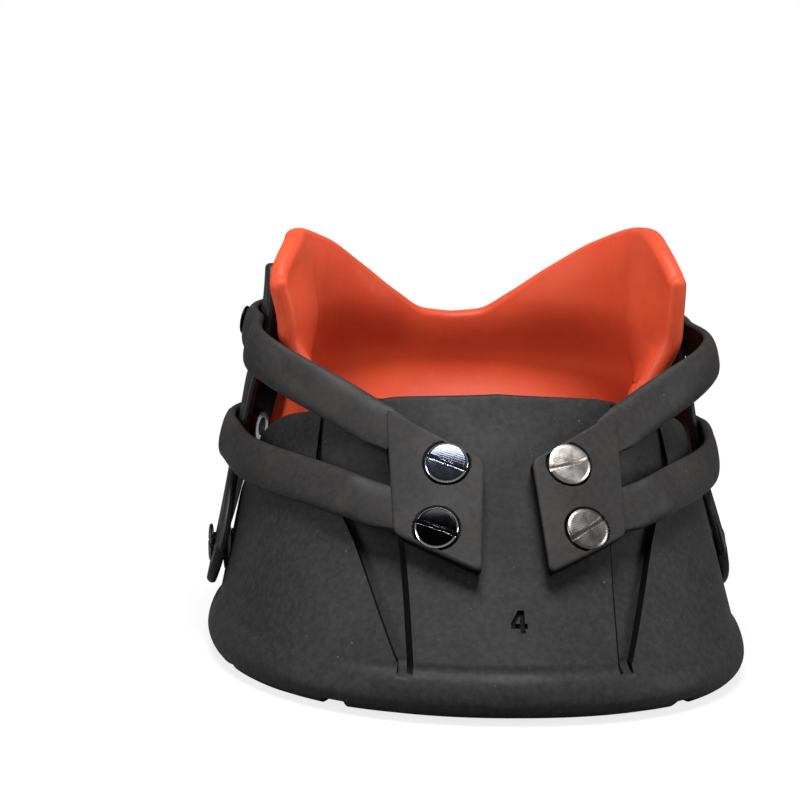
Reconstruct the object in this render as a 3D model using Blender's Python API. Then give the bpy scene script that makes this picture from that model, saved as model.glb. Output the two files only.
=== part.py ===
"""Horse hoof boot: moulded shell, two Y straps, and a heel cuff that tilts on two side pivots.

Metres, +Z up, +X to the wearer's view right, toe at -Y.  The origin is the centre of the
sole's ground face.
"""

import math

import bmesh
import bpy
from mathutils import Matrix, Vector

# Sole rim
RIM_WIDTH = 0.128
RIM_LENGTH = 0.130
RIM_HEIGHT = 0.010
RIM_WIDEST_Y = 0.002
RIM_SHOULDER = 0.0025
RIM_EDGE_ROUND = 0.0045
TOE_ROCKER_REACH = 0.0060
OUTLINE_POWER = 2.2

# Shell wall
WALL_THICKNESS = 0.0042
FLOOR_TOP = 0.0085
FLOOR_FILLET = 0.0035
TOE_ANGLE = math.radians(53.0)
SIDE_LEAN = math.radians(12.5)
HEEL_LEAN = math.radians(9.0)
WIDEST_LEAN = math.radians(24.0)
LIP_ROUND = 0.0012

# Heights of the shell's top edge, from the toe to the heel
TOE_TOP = 0.0670
TONGUE_CORNER_TOP = 0.0655
WEB_TOP = 0.0615
LOBE_TOP = 0.0580
LOBE_REAR_TOP = 0.0520
QUARTER_DROP_TOP = 0.0370
QUARTER_END_TOP = 0.0240
HEEL_LIP_TOP = 0.0180
TOP_EDGE_ANGLES = (0.0, 26.0, 44.0, 64.0, 80.0, 94.0, 110.0, 140.0, 180.0)

# Slots beside the tongue
SLOT_DEPTH = 0.0026
SLOT_FOOT_Z = 0.0118
SLOT_TONGUE_X = 0.0232
SLOT_FOOT_SHARE = 0.09
SLOT_MID_Z = 0.034
SLOT_MID_SHARE = 0.34
SLOT_HIGH_Z = 0.056
SLOT_HIGH_SHARE = 0.676
OVERRUN = 0.004

# Tread
TREAD_DEPTH = 0.0024
TREAD_GROOVE = 0.0060
TREAD_GROOVE_ANGLES = (38.0, 74.0, 106.0, 142.0)
TREAD_RING_INSET = 0.0170

# Strap mouldings
STRAP_SEAT = 0.0015
STRAP_GAP = 0.0003
PLATE_THICKNESS = 0.0034
PLATE_INNER_TOP_X = 0.0052
PLATE_INNER_BOTTOM_X = 0.0074
PLATE_OUTER_X = 0.0252
PLATE_TOP_Z = 0.0515
PLATE_BOTTOM_Z = 0.0290
PLATE_TOP_RISE = 0.0093
PLATE_BOTTOM_RISE = 0.0068
PLATE_CORNER = 0.0016
SEAT_INSET = 0.0016
ARM_WIDTH = 0.0104
ARM_EDGE_THICKNESS = 0.0020
ARM_CROWN = 0.0009
ARM_PLATE_OVERLAP = 0.0020
HOLE_PITCH = 0.0120
HOLE_COUNT = 4

# Front strap screws and their tee nuts
SCREW_UPPER_X = 0.0134
SCREW_UPPER_Z = 0.0503
SCREW_LOWER_X = 0.0163
SCREW_LOWER_Z = 0.0373
SCREW_HEAD = 0.0100
SCREW_HEAD_HEIGHT = 0.0019
SCREW_HEAD_CROWN = 0.0005
SCREW_SHANK = 0.0050
SCREW_LENGTH = 0.0082
DRIVE_SLOT_WIDTH = 0.0011
DRIVE_SLOT_DEPTH = 0.0010
POCKET_DEPTH = 0.0018
POCKET_CLEARANCE = 0.0004
NUT_FLANGE = 0.0105
NUT_FLANGE_THICKNESS = 0.0012
NUT_BARREL = 0.0070
FIT_GAP = 0.0003

# Heel cuff: soft liner and stiff wrap
CUFF_WIDEST_Y = 0.024
LINER_THICKNESS = 0.0042
LINER_HALF_WIDTH = 0.0440
LINER_FLARE = 0.0060
LINER_TOP_FLARE = 0.0035
LINER_REAR_Y = 0.0600
LINER_DIP_Z = 0.0730
LINER_PEAK_Z = 0.0995
LINER_CORNER_Z = 0.0915
LINER_FRONT_Y = 0.0020
LINER_BOTTOM_Z = 0.0290
LINER_FRONT_BOTTOM_Z = 0.0400
LINER_BOWL_Z = 0.0610
LINER_BOWL_REACH = 0.0190
LINER_SHELL_GAP = 0.0014
WRAP_THICKNESS = 0.0024
WRAP_SIDE_ROOM = 0.0055
WRAP_EAR_ROOM = 0.0022
WRAP_WAIST_Z = 0.0720
WRAP_EAR_Z = 0.0895
WRAP_DIP_Z = 0.0680
WRAP_BOTTOM_Z = 0.0410
WRAP_FRONT_Y = 0.0200
WRAP_LINER_GAP = 0.0003
WRAP_SHELL_GAP = 0.0015
WRAP_STRAP_GAP = 0.0008
LINER_STRAP_GAP = 0.0010
BLEND_LENGTH = 0.0015
LINER_FREE_RISE = 0.0080
LINER_LIP_GAP = 0.0015
LINER_WING_ROOM = 0.0120
CUFF_SIDE_SHARE = 0.70
WRAP_REAR_SHARE = 0.35

# Side pivots
PIVOT_Y = 0.0160
PIVOT_Z = 0.0225
FLAP_RADIUS = 0.0098
FLAP_TOP_Z = 0.0460
FLAP_REAR_RUN = 0.0140
PIVOT_HEAD = 0.0090
PIVOT_HEAD_HEIGHT = 0.0018
PIVOT_SHANK = 0.0050
PIVOT_WASHER = 0.0130
PIVOT_NUT_FLANGE = 0.0100
PIVOT_NUT_SINK = 0.0015
PIVOT_BARREL = 0.0070

# Strap studs on the wrap
STUD_Y = 0.0380
STUD_UPPER_Z = 0.0725
STUD_LOWER_Z = 0.0472
STUD_HEAD = 0.0070
STUD_HEAD_HEIGHT = 0.0012
STUD_SHANK = 0.0040
STUD_NUT = 0.0085
STUD_NUT_THICKNESS = 0.0014

# Strap routes: arm centre heights at the plate, along the side and round the heel
UPPER_ARM_PLATE_Z = 0.0568
UPPER_ARM_SIDE_Z = 0.0602
LOWER_ARM_PLATE_Z = 0.0412
LOWER_ARM_SIDE_Z = 0.0430
STRAP_END_X = 0.0110
ARM_SIDE_ANGLE = math.radians(38.0)
ARM_LIFT_STEP = 0.0002
ARM_STAND_OFF = 0.0010
ARM_CARRY_Y = 0.0010
ARM_CARRY_DROP = 0.0012
ARM_CARRY_TURN = math.radians(20.0)

# Mesh density
WALL_COLUMNS = 60
SLOT_STEPS = 7
ROUND_SEGMENTS = 14
CUFF_COLUMNS = 32
CUFF_ROWS = 9
ARM_SPLITS = 2
ARM_BED_STEPS = 8
EDGE_STEPS = 3
WALL_RISE_SHARES = (0.0, 0.2, 0.4, 0.6, 0.8, 1.0)
WALL_FOOT_SHARE = 1.04
RIM_SHOULDER_SHARES = ((0.0, 0.62), (0.12, 0.80), (0.45, 0.93), (0.85, 0.98))
LIP_SHARES = ((0.3, 0.7), (1.0, 1.0))
SLOT_ACROSS_SHARES = (0.0, 0.34, 0.67, 1.0)
PLATE_CUT_SHARES = (-0.3, -0.1, 0.1, 0.3)
EDGE_TAPER_SHARE = 0.45
EDGE_AHEAD_SHARE = 0.35
HEAD_FACE_SHARE = 0.5
HEAD_FACE_RISE_SHARE = 0.6
HEAD_CENTRE_SHARE = 0.1
STUD_FACE_SHARE = 0.7
STUD_FACE_RISE_SHARE = 0.4
STUD_CENTRE_SHARE = 0.2
ARM_WALL_SHARES = (0.0, 0.5, 1.0)
ARM_TIP_SHARES = (0.3, 0.55, 0.78, 0.94)
ARM_SECTION_SHARES = (
    (-0.94, 0.0, 0.0),
    (0.94, 0.0, 0.0),
    (1.0, 0.35, 0.0),
    (0.99, 0.8, 0.0),
    (0.84, 1.0, 0.3),
    (0.45, 1.0, 0.82),
    (0.0, 1.0, 1.0),
    (-0.45, 1.0, 0.82),
    (-0.84, 1.0, 0.3),
    (-0.99, 0.8, 0.0),
    (-1.0, 0.35, 0.0),
)
LINER_TOP_PLACE_SHARES = (0.0, 0.06, 0.13, 0.24, 0.39, 0.58, 0.70, 1.0)
LINER_TOP_RISE_SHARES = (0.0, 0.03, 0.19, 0.47, 0.77, 0.97, 1.0)
WRAP_TOP_PLACE_SHARES = (0.0, 0.10, 0.24, 0.39, 0.58, 0.75, 1.0)
WRAP_TOP_RISE_SHARES = (0.0, 0.06, 0.38, 0.70, 0.93, 1.0, 0.86)

# Numerical steps
NORMAL_ANGLE_STEP = 1e-4
NORMAL_SHARE_STEP = 1e-4
HALVINGS = 40
HOLE_WALK_SHARE = 0.001
NORMAL_HEIGHT_STEP = 1e-5
WELD_DISTANCE = 1e-6
KEPT_SHARE = 0.98
SMOOTH_ANGLE = math.radians(38.0)

SIDES = {"left": -1.0, "right": 1.0}
SLOT_SPIN = {
    ("left", "upper"): math.radians(-18.0),
    ("left", "lower"): math.radians(-17.0),
    ("right", "upper"): math.radians(11.0),
    ("right", "lower"): math.radians(28.0),
}


def clear_scene():
    """Remove every object that the scene holds."""
    for item in list(bpy.data.objects):
        bpy.data.objects.remove(item, do_unlink=True)


def make_material(name, colour, roughness, metallic=0.0):
    """Principled material with one colour, roughness and metallic value."""
    material = bpy.data.materials.new(name)
    material.use_nodes = True
    shader = material.node_tree.nodes["Principled BSDF"]
    shader.inputs["Base Color"].default_value = (*colour, 1.0)
    shader.inputs["Roughness"].default_value = roughness
    shader.inputs["Metallic"].default_value = metallic
    material.diffuse_color = (*colour, 1.0)
    return material


def add_object(name, mesh_edit, material=None):
    """Turn a bmesh into a linked object with outward normals."""
    bmesh.ops.recalc_face_normals(mesh_edit, faces=mesh_edit.faces)
    if mesh_edit.calc_volume(signed=True) < 0.0:
        bmesh.ops.reverse_faces(mesh_edit, faces=mesh_edit.faces)
    mesh = bpy.data.meshes.new(name)
    mesh_edit.to_mesh(mesh)
    mesh_edit.free()
    mesh.shade_smooth()
    mesh.set_sharp_from_angle(angle=SMOOTH_ANGLE)
    if material:
        mesh.materials.append(material)
    item = bpy.data.objects.new(name, mesh)
    bpy.context.scene.collection.objects.link(item)
    return item


def mesh_volume(mesh):
    """Volume that a mesh encloses."""
    mesh_edit = bmesh.new()
    mesh_edit.from_mesh(mesh)
    volume = mesh_edit.calc_volume()
    mesh_edit.free()
    return volume


def apply_boolean(target, cutter, operation):
    """Boolean the cutter into the target; where the exact solver loses the body, the other one cuts."""
    least = mesh_volume(target.data)
    if operation == "DIFFERENCE":
        least -= mesh_volume(cutter.data)
    for solver in ("EXACT", "MANIFOLD"):
        modifier = target.modifiers.new(operation.lower(), "BOOLEAN")
        modifier.operation = operation
        modifier.solver = solver
        modifier.object = cutter
        graph = bpy.context.evaluated_depsgraph_get()
        result = bpy.data.meshes.new_from_object(target.evaluated_get(graph))
        target.modifiers.clear()
        if mesh_volume(result) > least * KEPT_SHARE:
            break
    target.data = result
    bpy.data.objects.remove(cutter, do_unlink=True)


def finish_mesh(item):
    """Weld doubles left by Booleans and restore smooth shading."""
    mesh_edit = bmesh.new()
    mesh_edit.from_mesh(item.data)
    bmesh.ops.remove_doubles(mesh_edit, verts=mesh_edit.verts, dist=WELD_DISTANCE)
    bmesh.ops.dissolve_degenerate(mesh_edit, edges=mesh_edit.edges, dist=WELD_DISTANCE)
    mesh_edit.to_mesh(item.data)
    mesh_edit.free()
    item.data.shade_smooth()
    item.data.set_sharp_from_angle(angle=SMOOTH_ANGLE)


def signed_power(value, power):
    """Power of the size of a value, with its sign kept."""
    return math.copysign(abs(value) ** power, value)


def smooth_share(share):
    """Ease a share from nought to one with level ends."""
    share = min(max(share, 0.0), 1.0)
    return share * share * (3.0 - 2.0 * share)


def smooth_max(first, second, width):
    """Larger of two lengths, rounded over a width."""
    gap = first - second
    return 0.5 * (first + second + math.sqrt(gap * gap + width * width))


def smooth_min(first, second, width):
    """Smaller of two lengths, rounded over a width."""
    return -smooth_max(-first, -second, width)


def eased_table(places, values, place):
    """Monotone cubic through a table of places and values."""
    if place <= places[0]:
        return values[0]
    if place >= places[-1]:
        return values[-1]
    slopes = []
    for index in range(len(places) - 1):
        slopes.append((values[index + 1] - values[index]) / (places[index + 1] - places[index]))
    tangents = [slopes[0]]
    for before, after in zip(slopes, slopes[1:]):
        steady = before * after > 0.0
        tangents.append(2.0 * before * after / (before + after) if steady else 0.0)
    tangents.append(slopes[-1])
    index = max(i for i in range(len(places) - 1) if places[i] <= place)
    span = places[index + 1] - places[index]
    share = (place - places[index]) / span
    start = (2 * share ** 3 - 3 * share ** 2 + 1) * values[index]
    leave = (share ** 3 - 2 * share ** 2 + share) * span * tangents[index]
    end = (-2 * share ** 3 + 3 * share ** 2) * values[index + 1]
    arrive = (share ** 3 - share ** 2) * span * tangents[index + 1]
    return start + leave + end + arrive


def oval_point(angle, half_width, toe_y, heel_y, widest_y):
    """Point of a squarish oval; the angle runs from the toe towards +X."""
    power = 2.0 / OUTLINE_POWER
    end_y = toe_y if math.cos(angle) >= 0.0 else heel_y
    x = half_width * signed_power(math.sin(angle), power)
    y = widest_y + (end_y - widest_y) * abs(math.cos(angle)) ** power
    return x, y


def rim_point(angle, inset):
    """Plan point of the sole rim, drawn in by an inset."""
    return oval_point(
        angle,
        0.5 * RIM_WIDTH - inset,
        -0.5 * RIM_LENGTH + inset,
        0.5 * RIM_LENGTH - inset,
        RIM_WIDEST_Y,
    )


def wall_sizes(z):
    """Half width, toe, heel and widest place of the wall's outline at a height."""
    rise = z - RIM_HEIGHT
    half_width = 0.5 * RIM_WIDTH - RIM_SHOULDER - rise * math.tan(SIDE_LEAN)
    toe_y = -0.5 * RIM_LENGTH + RIM_SHOULDER + rise / math.tan(TOE_ANGLE)
    heel_y = 0.5 * RIM_LENGTH - RIM_SHOULDER + rise * math.tan(HEEL_LEAN)
    widest_y = RIM_WIDEST_Y + rise * math.tan(WIDEST_LEAN)
    return half_width, toe_y, heel_y, widest_y


def wall_skin(angle, z):
    """Point of the wall's outer skin."""
    x, y = oval_point(angle, *wall_sizes(z))
    return Vector((x, y, z))


def skin_normal(skin, along, up, step_along, step_up):
    """Unit normal of a skin function by central differences."""
    across = skin(along + step_along, up) - skin(along - step_along, up)
    rise = skin(along, up + step_up) - skin(along, up - step_up)
    return across.cross(rise).normalized()


def wall_normal(angle, z):
    """Outward unit normal of the wall's outer skin."""
    return skin_normal(wall_skin, angle, z, NORMAL_ANGLE_STEP, NORMAL_HEIGHT_STEP)


def wall_point(angle, z, outward):
    """Point at a distance outward from the wall's outer skin."""
    return wall_skin(angle, z) + wall_normal(angle, z) * outward


def wall_half_width(y, z):
    """Half width of the wall's outline at a place along the boot."""
    half_width, toe_y, heel_y, widest_y = wall_sizes(z)
    reach = widest_y - toe_y if y < widest_y else heel_y - widest_y
    share = min(abs(y - widest_y) / reach, 1.0)
    return half_width * (1.0 - share ** OUTLINE_POWER) ** (1.0 / OUTLINE_POWER)


def wall_angle(x, z):
    """Angle on the front of the wall whose skin has a given X."""
    half_width = wall_sizes(z)[0]
    return math.asin(signed_power(x / half_width, 0.5 * OUTLINE_POWER))


def shell_top(angle):
    """Height of the shell's top edge."""
    heights = (
        TOE_TOP,
        TONGUE_CORNER_TOP,
        WEB_TOP,
        LOBE_TOP,
        LOBE_REAR_TOP,
        QUARTER_DROP_TOP,
        QUARTER_END_TOP,
        HEEL_LIP_TOP,
        HEEL_LIP_TOP,
    )
    degrees = abs(math.degrees(math.remainder(angle, 2.0 * math.pi)))
    return eased_table(TOP_EDGE_ANGLES, heights, degrees)


def loft_rings(rings, start_centre=None, end_centre=None):
    """Skin between closed rings, each end closed by a face or by a fan to a centre."""
    mesh_edit = bmesh.new()
    loops = [[mesh_edit.verts.new(point) for point in ring] for ring in rings]
    count = len(loops[0])
    for lower, upper in zip(loops, loops[1:]):
        for index in range(count):
            following = (index + 1) % count
            mesh_edit.faces.new((lower[index], lower[following], upper[following], upper[index]))
    for loop, centre in ((loops[0], start_centre), (loops[-1], end_centre)):
        if centre is None:
            mesh_edit.faces.new(loop)
            continue
        middle = mesh_edit.verts.new(centre)
        for index in range(count):
            mesh_edit.faces.new((loop[index], loop[(index + 1) % count], middle))
    return mesh_edit


def turned_solid(profile):
    """Solid turned about Z from a profile of radius and height pairs."""
    rings = []
    for radius, height in profile:
        ring = []
        for index in range(ROUND_SEGMENTS):
            angle = 2.0 * math.pi * index / ROUND_SEGMENTS
            ring.append(Vector((radius * math.cos(angle), radius * math.sin(angle), height)))
        rings.append(ring)
    return loft_rings(rings)


def axis_matrix(point, normal):
    """Placement whose Z runs along a normal, with X kept level."""
    level = Vector((0.0, 0.0, 1.0)).cross(normal).normalized()
    rise = normal.cross(level)
    turn = Matrix((level, rise, normal)).transposed().to_4x4()
    return Matrix.Translation(point) @ turn


def place_turned(name, profile, place, material=None):
    """Turned solid at a placement, with its origin on its own axis."""
    item = add_object(name, turned_solid(profile), material)
    item.matrix_world = place
    bpy.context.view_layer.update()
    return item


def cut_cylinder(target, place, radius, start, end):
    """Cut a round hole between two heights along a placement's Z."""
    cutter = place_turned("cutter", ((radius, start), (radius, end)), place)
    apply_boolean(target, cutter, "DIFFERENCE")


def ring_angles():
    """Angles of the wall's columns, evenly spaced from the toe."""
    return [2.0 * math.pi * index / WALL_COLUMNS for index in range(WALL_COLUMNS)]


def rim_rings(angles):
    """Rings of the sole from its underside to the shoulder of the wall."""
    rings = []
    for step in range(EDGE_STEPS + 1):
        turn = 0.5 * math.pi * step / EDGE_STEPS
        inset = RIM_EDGE_ROUND * (1.0 - math.sin(turn))
        height = RIM_EDGE_ROUND * (1.0 - math.cos(turn))
        ring = []
        for angle in angles:
            toe_share = max(math.cos(angle), 0.0) ** 2 * (1.0 - step / EDGE_STEPS)
            x, y = rim_point(angle, inset + TOE_ROCKER_REACH * toe_share)
            ring.append(Vector((x, y, height)))
        rings.append(ring)
    for inset_share, height_share in RIM_SHOULDER_SHARES:
        ring = []
        for angle in angles:
            x, y = rim_point(angle, RIM_SHOULDER * inset_share)
            ring.append(Vector((x, y, RIM_HEIGHT * height_share)))
        rings.append(ring)
    return rings


def wall_rings(angles):
    """Rings up the outside of the wall, over its lip and down to the floor."""
    rings = []
    for share in WALL_RISE_SHARES:
        ring = []
        for angle in angles:
            foot = RIM_HEIGHT * WALL_FOOT_SHARE
            ring.append(wall_point(angle, foot + share * (shell_top(angle) - LIP_ROUND - foot), 0.0))
        rings.append(ring)
    for depth_share, height_share in LIP_SHARES:
        rings.append([
            wall_point(angle, shell_top(angle) - LIP_ROUND * (1.0 - height_share), -LIP_ROUND * depth_share)
            for angle in angles
        ])
    for depth_share, height_share in reversed(LIP_SHARES):
        depth = WALL_THICKNESS - LIP_ROUND * depth_share
        rings.append([
            wall_point(angle, shell_top(angle) - LIP_ROUND * (1.0 - height_share), -depth)
            for angle in angles
        ])
    for share in reversed(WALL_RISE_SHARES):
        ring = []
        for angle in angles:
            lift = WALL_THICKNESS * wall_normal(angle, RIM_HEIGHT).z
            foot = FLOOR_TOP + FLOOR_FILLET + lift
            top = shell_top(angle) - LIP_ROUND
            ring.append(wall_point(angle, foot + share * (top - foot), -WALL_THICKNESS))
        rings.append(ring)
    return rings


def floor_rings(inner_ring, angles):
    """Fillet rings from the foot of the inner wall to the flat floor."""
    rings = []
    for step in range(1, EDGE_STEPS + 1):
        turn = 0.5 * math.pi * step / EDGE_STEPS
        ring = []
        for point, angle in zip(inner_ring, angles):
            level = wall_normal(angle, RIM_HEIGHT)
            inward = Vector((-level.x, -level.y, 0.0)).normalized()
            place = point + inward * (FLOOR_FILLET * (1.0 - math.cos(turn)))
            place.z = FLOOR_TOP + FLOOR_FILLET * (1.0 - math.sin(turn))
            ring.append(place)
        rings.append(ring)
    return rings


def build_shell(material):
    """Sole, wall and quarters in one moulding, before its cuts."""
    angles = ring_angles()
    rings = rim_rings(angles) + wall_rings(angles)
    rings += floor_rings(rings[-1], angles)
    bottom = Vector((0.0, 0.0, 0.0))
    top = Vector((0.0, 0.0, FLOOR_TOP))
    return add_object("shell", loft_rings(rings, bottom, top), material)


def slot_cutter(side):
    """Cutter for the V slot between the tongue and one quarter."""
    rings = []
    top = TOE_TOP + OVERRUN
    for step in range(SLOT_STEPS + 1):
        z = SLOT_FOOT_Z + (top - SLOT_FOOT_Z) * step / SLOT_STEPS
        spread = eased_table(
            (SLOT_FOOT_Z, SLOT_MID_Z, SLOT_HIGH_Z, top),
            (SLOT_FOOT_SHARE, SLOT_MID_SHARE, SLOT_HIGH_SHARE, SLOT_HIGH_SHARE),
            z,
        )
        width = (wall_sizes(z)[0] - SLOT_TONGUE_X) * spread
        places = [SLOT_TONGUE_X + width * share for share in SLOT_ACROSS_SHARES]
        outer = [wall_point(side * wall_angle(x, z), z, OVERRUN) for x in places]
        inner = [wall_point(side * wall_angle(x, z), z, -SLOT_DEPTH) for x in places]
        rings.append(outer + inner[::-1])
    return add_object("slot_cutter", loft_rings(rings))


def groove_cutter(angle):
    """Radial tread groove that runs out through the rim."""
    mesh_edit = bmesh.new()
    bmesh.ops.create_cube(mesh_edit, size=1.0)
    length = RIM_WIDTH * 0.5
    bmesh.ops.scale(mesh_edit, vec=(TREAD_GROOVE, length, 2.0 * TREAD_DEPTH), verts=mesh_edit.verts)
    x, y = rim_point(angle, TREAD_RING_INSET)
    outward = Vector(rim_point(angle, 0.0)) - Vector((x, y))
    heading = math.atan2(outward.x, -outward.y)
    cutter = add_object("groove_cutter", mesh_edit)
    shift = Matrix.Translation(Vector((0.0, -0.5 * length, 0.0)))
    cutter.matrix_world = Matrix.Translation((x, y, 0.0)) @ Matrix.Rotation(heading, 4, "Z") @ shift
    bpy.context.view_layer.update()
    return cutter


def ring_groove_cutter():
    """Oval groove that joins the radial grooves round the tread's centre."""
    angles = ring_angles()[::2]
    section = ((0.0, -1.0), (1.0, -1.0), (1.0, 1.0), (0.0, 1.0))
    mesh_edit = bmesh.new()
    loops = []
    for width_share, height_share in section:
        inset = TREAD_RING_INSET + TREAD_GROOVE * width_share
        loop = []
        for angle in angles:
            x, y = rim_point(angle, inset)
            loop.append(mesh_edit.verts.new((x, y, TREAD_DEPTH * height_share)))
        loops.append(loop)
    count = len(angles)
    for lower, upper in zip(loops, loops[1:] + loops[:1]):
        for index in range(count):
            following = (index + 1) % count
            mesh_edit.faces.new((lower[index], lower[following], upper[following], upper[index]))
    return add_object("ring_groove_cutter", mesh_edit)


def cut_tread(shell):
    """Ring groove and radial grooves in the underside of the sole."""
    apply_boolean(shell, ring_groove_cutter(), "DIFFERENCE")
    for degrees in TREAD_GROOVE_ANGLES:
        for side in SIDES.values():
            apply_boolean(shell, groove_cutter(side * math.radians(degrees)), "DIFFERENCE")


def plate_corners(inset=0.0):
    """Corners of a strap plate as X and height pairs, clockwise from the inner top."""
    return (
        (PLATE_INNER_TOP_X + inset, PLATE_TOP_Z - inset),
        (PLATE_OUTER_X - inset, PLATE_TOP_Z + PLATE_TOP_RISE - inset),
        (PLATE_OUTER_X - inset, PLATE_BOTTOM_Z + PLATE_BOTTOM_RISE + inset),
        (PLATE_INNER_BOTTOM_X + inset, PLATE_BOTTOM_Z + inset),
    )


def plate_solid(name, side, inset, inner, outer, material=None):
    """Rounded parallelogram laid on the wall between two distances from its skin."""
    corners = plate_corners(inset)
    mesh_edit = bmesh.new()
    bmesh.ops.create_cube(mesh_edit, size=1.0)
    upright = [e for e in mesh_edit.edges if abs(e.verts[0].co.z - e.verts[1].co.z) > 0.5]
    width = PLATE_OUTER_X - PLATE_INNER_TOP_X
    bmesh.ops.bevel(
        mesh_edit, geom=upright, offset=PLATE_CORNER / width, segments=EDGE_STEPS, affect="EDGES", profile=0.5
    )
    for axis in (Vector((1.0, 0.0, 0.0)), Vector((0.0, 1.0, 0.0))):
        for share in PLATE_CUT_SHARES:
            geometry = mesh_edit.verts[:] + mesh_edit.edges[:] + mesh_edit.faces[:]
            bmesh.ops.bisect_plane(mesh_edit, geom=geometry, plane_co=axis * share, plane_no=axis)
    for vert in mesh_edit.verts:
        across = vert.co.x + 0.5
        up = vert.co.y + 0.5
        (ax, az), (bx, bz), (cx, cz), (dx, dz) = corners
        top_x, top_z = ax + (bx - ax) * across, az + (bz - az) * across
        low_x, low_z = dx + (cx - dx) * across, dz + (cz - dz) * across
        x, z = low_x + (top_x - low_x) * up, low_z + (top_z - low_z) * up
        outward = inner + (outer - inner) * (vert.co.z + 0.5)
        vert.co = wall_point(side * wall_angle(x, z), z, outward)
    return add_object(name, mesh_edit, material)


def screw_places(side):
    """Placements of one plate's two screws on the wall's skin, upper then lower."""
    places = []
    for x, z in ((SCREW_UPPER_X, SCREW_UPPER_Z), (SCREW_LOWER_X, SCREW_LOWER_Z)):
        angle = side * wall_angle(x, z)
        places.append(axis_matrix(wall_skin(angle, z), wall_normal(angle, z)))
    return places


def plate_inner():
    """Distance of the plate's back from the wall's skin."""
    return STRAP_SEAT + STRAP_GAP


def plate_outer():
    """Distance of the plate's face from the wall's skin."""
    return plate_inner() + PLATE_THICKNESS


def head_seat():
    """Distance of a screw head's underside from the wall's skin."""
    return plate_outer() - POCKET_DEPTH + FIT_GAP


def nut_seat():
    """Distance of a tee nut's flange face from the wall's skin, on the inner side."""
    return NUT_FLANGE_THICKNESS - WALL_THICKNESS


def cut_screw_seats(shell, place):
    """Barrel hole and flange pocket for one tee nut."""
    cut_cylinder(shell, place, 0.5 * NUT_BARREL + FIT_GAP, nut_seat() - OVERRUN, STRAP_SEAT + OVERRUN)
    cut_cylinder(shell, place, 0.5 * NUT_FLANGE + FIT_GAP, nut_seat() - OVERRUN, nut_seat())


def cuff_plan(share, half_width, rear_y, front_y, flare):
    """Plan point of the U-shaped cuff; the share runs from the left edge to the right."""
    side = math.copysign(1.0, share)
    size = abs(share)
    if size <= CUFF_SIDE_SHARE:
        turn = 0.5 * math.pi * size / CUFF_SIDE_SHARE
        power = 2.0 / OUTLINE_POWER
        x = half_width * math.sin(turn) ** power
        y = CUFF_WIDEST_Y + (rear_y - CUFF_WIDEST_Y) * max(math.cos(turn), 0.0) ** power
        return side * x, y
    run = (size - CUFF_SIDE_SHARE) / (1.0 - CUFF_SIDE_SHARE)
    return side * (half_width + flare * run * run), CUFF_WIDEST_Y + (front_y - CUFF_WIDEST_Y) * run


def liner_skin(share, z):
    """Middle of the liner's thickness."""
    bowl = smooth_share((LINER_BOWL_Z - z) / (LINER_BOWL_Z - LINER_BOTTOM_Z))
    half_width = LINER_HALF_WIDTH + max(LINER_BOWL_Z - z, 0.0) * math.tan(SIDE_LEAN)
    rear_y = LINER_REAR_Y - LINER_BOWL_REACH * bowl
    up = smooth_share((z - LINER_DIP_Z) / (LINER_PEAK_Z - LINER_DIP_Z))
    flare = LINER_FLARE + (LINER_TOP_FLARE - LINER_FLARE) * up
    x, y = cuff_plan(share, half_width, rear_y, LINER_FRONT_Y, flare)
    room = wall_half_width(y, min(z, LOBE_TOP)) - WALL_THICKNESS / math.cos(SIDE_LEAN)
    room -= LINER_SHELL_GAP + 0.5 * LINER_THICKNESS
    above = smooth_share((z - LOBE_TOP - LINER_LIP_GAP) / LINER_FREE_RISE)
    limit = room + above * LINER_WING_ROOM
    if y < CUFF_WIDEST_Y + BLEND_LENGTH:
        x = math.copysign(min(abs(x), limit), x)
    return Vector((x, y, z))


def wrap_bottom(y):
    """Lower edge of the wrap: round the pivot at the flap, level at the heel."""
    reach = abs(y - PIVOT_Y)
    flap = PIVOT_Z
    if reach < FLAP_RADIUS:
        flap = PIVOT_Z - math.sqrt(FLAP_RADIUS ** 2 - reach ** 2)
    rise = (y - PIVOT_Y - FLAP_RADIUS) / FLAP_REAR_RUN
    return flap + (WRAP_BOTTOM_Z - PIVOT_Z) * smooth_share(rise) if rise > 0.0 else flap


def wrap_front(z):
    """Front edge of the wrap: at the flap it comes forward round the pivot."""
    share = smooth_share((z - PIVOT_Z) / (FLAP_TOP_Z - PIVOT_Z))
    low = PIVOT_Y - FLAP_RADIUS
    return low + (WRAP_FRONT_Y - low) * share


def wrap_skin(share, z):
    """Middle of the wrap's thickness."""
    ear = smooth_share((z - LOBE_TOP) / (WRAP_WAIST_Z - LOBE_TOP))
    room = WRAP_SIDE_ROOM + (WRAP_EAR_ROOM - WRAP_SIDE_ROOM) * ear
    half_width = LINER_HALF_WIDTH + 0.5 * LINER_THICKNESS + room + 0.5 * WRAP_THICKNESS
    rear_y = LINER_REAR_Y + 0.5 * LINER_THICKNESS + WRAP_LINER_GAP + 0.5 * WRAP_THICKNESS
    x, y = cuff_plan(share, half_width, rear_y, wrap_front(z), 0.0)
    wall = wall_half_width(y, z) + (WRAP_SHELL_GAP + 0.5 * WRAP_THICKNESS) / math.cos(SIDE_LEAN)
    side_share = smooth_share((abs(share) - WRAP_REAR_SHARE) / (CUFF_SIDE_SHARE - WRAP_REAR_SHARE))
    seat = 0.5 * PIVOT_WASHER
    above = (z - PIVOT_Z - seat) / (WRAP_BOTTOM_Z - PIVOT_Z - seat)
    behind = (y - PIVOT_Y - seat) / (FLAP_RADIUS - seat)
    free = smooth_share(max(above, behind))
    pushed = wall + (smooth_max(abs(x), wall, BLEND_LENGTH) - wall) * free
    return Vector((math.copysign(abs(x) + (pushed - abs(x)) * side_share, share), y, z))


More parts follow.
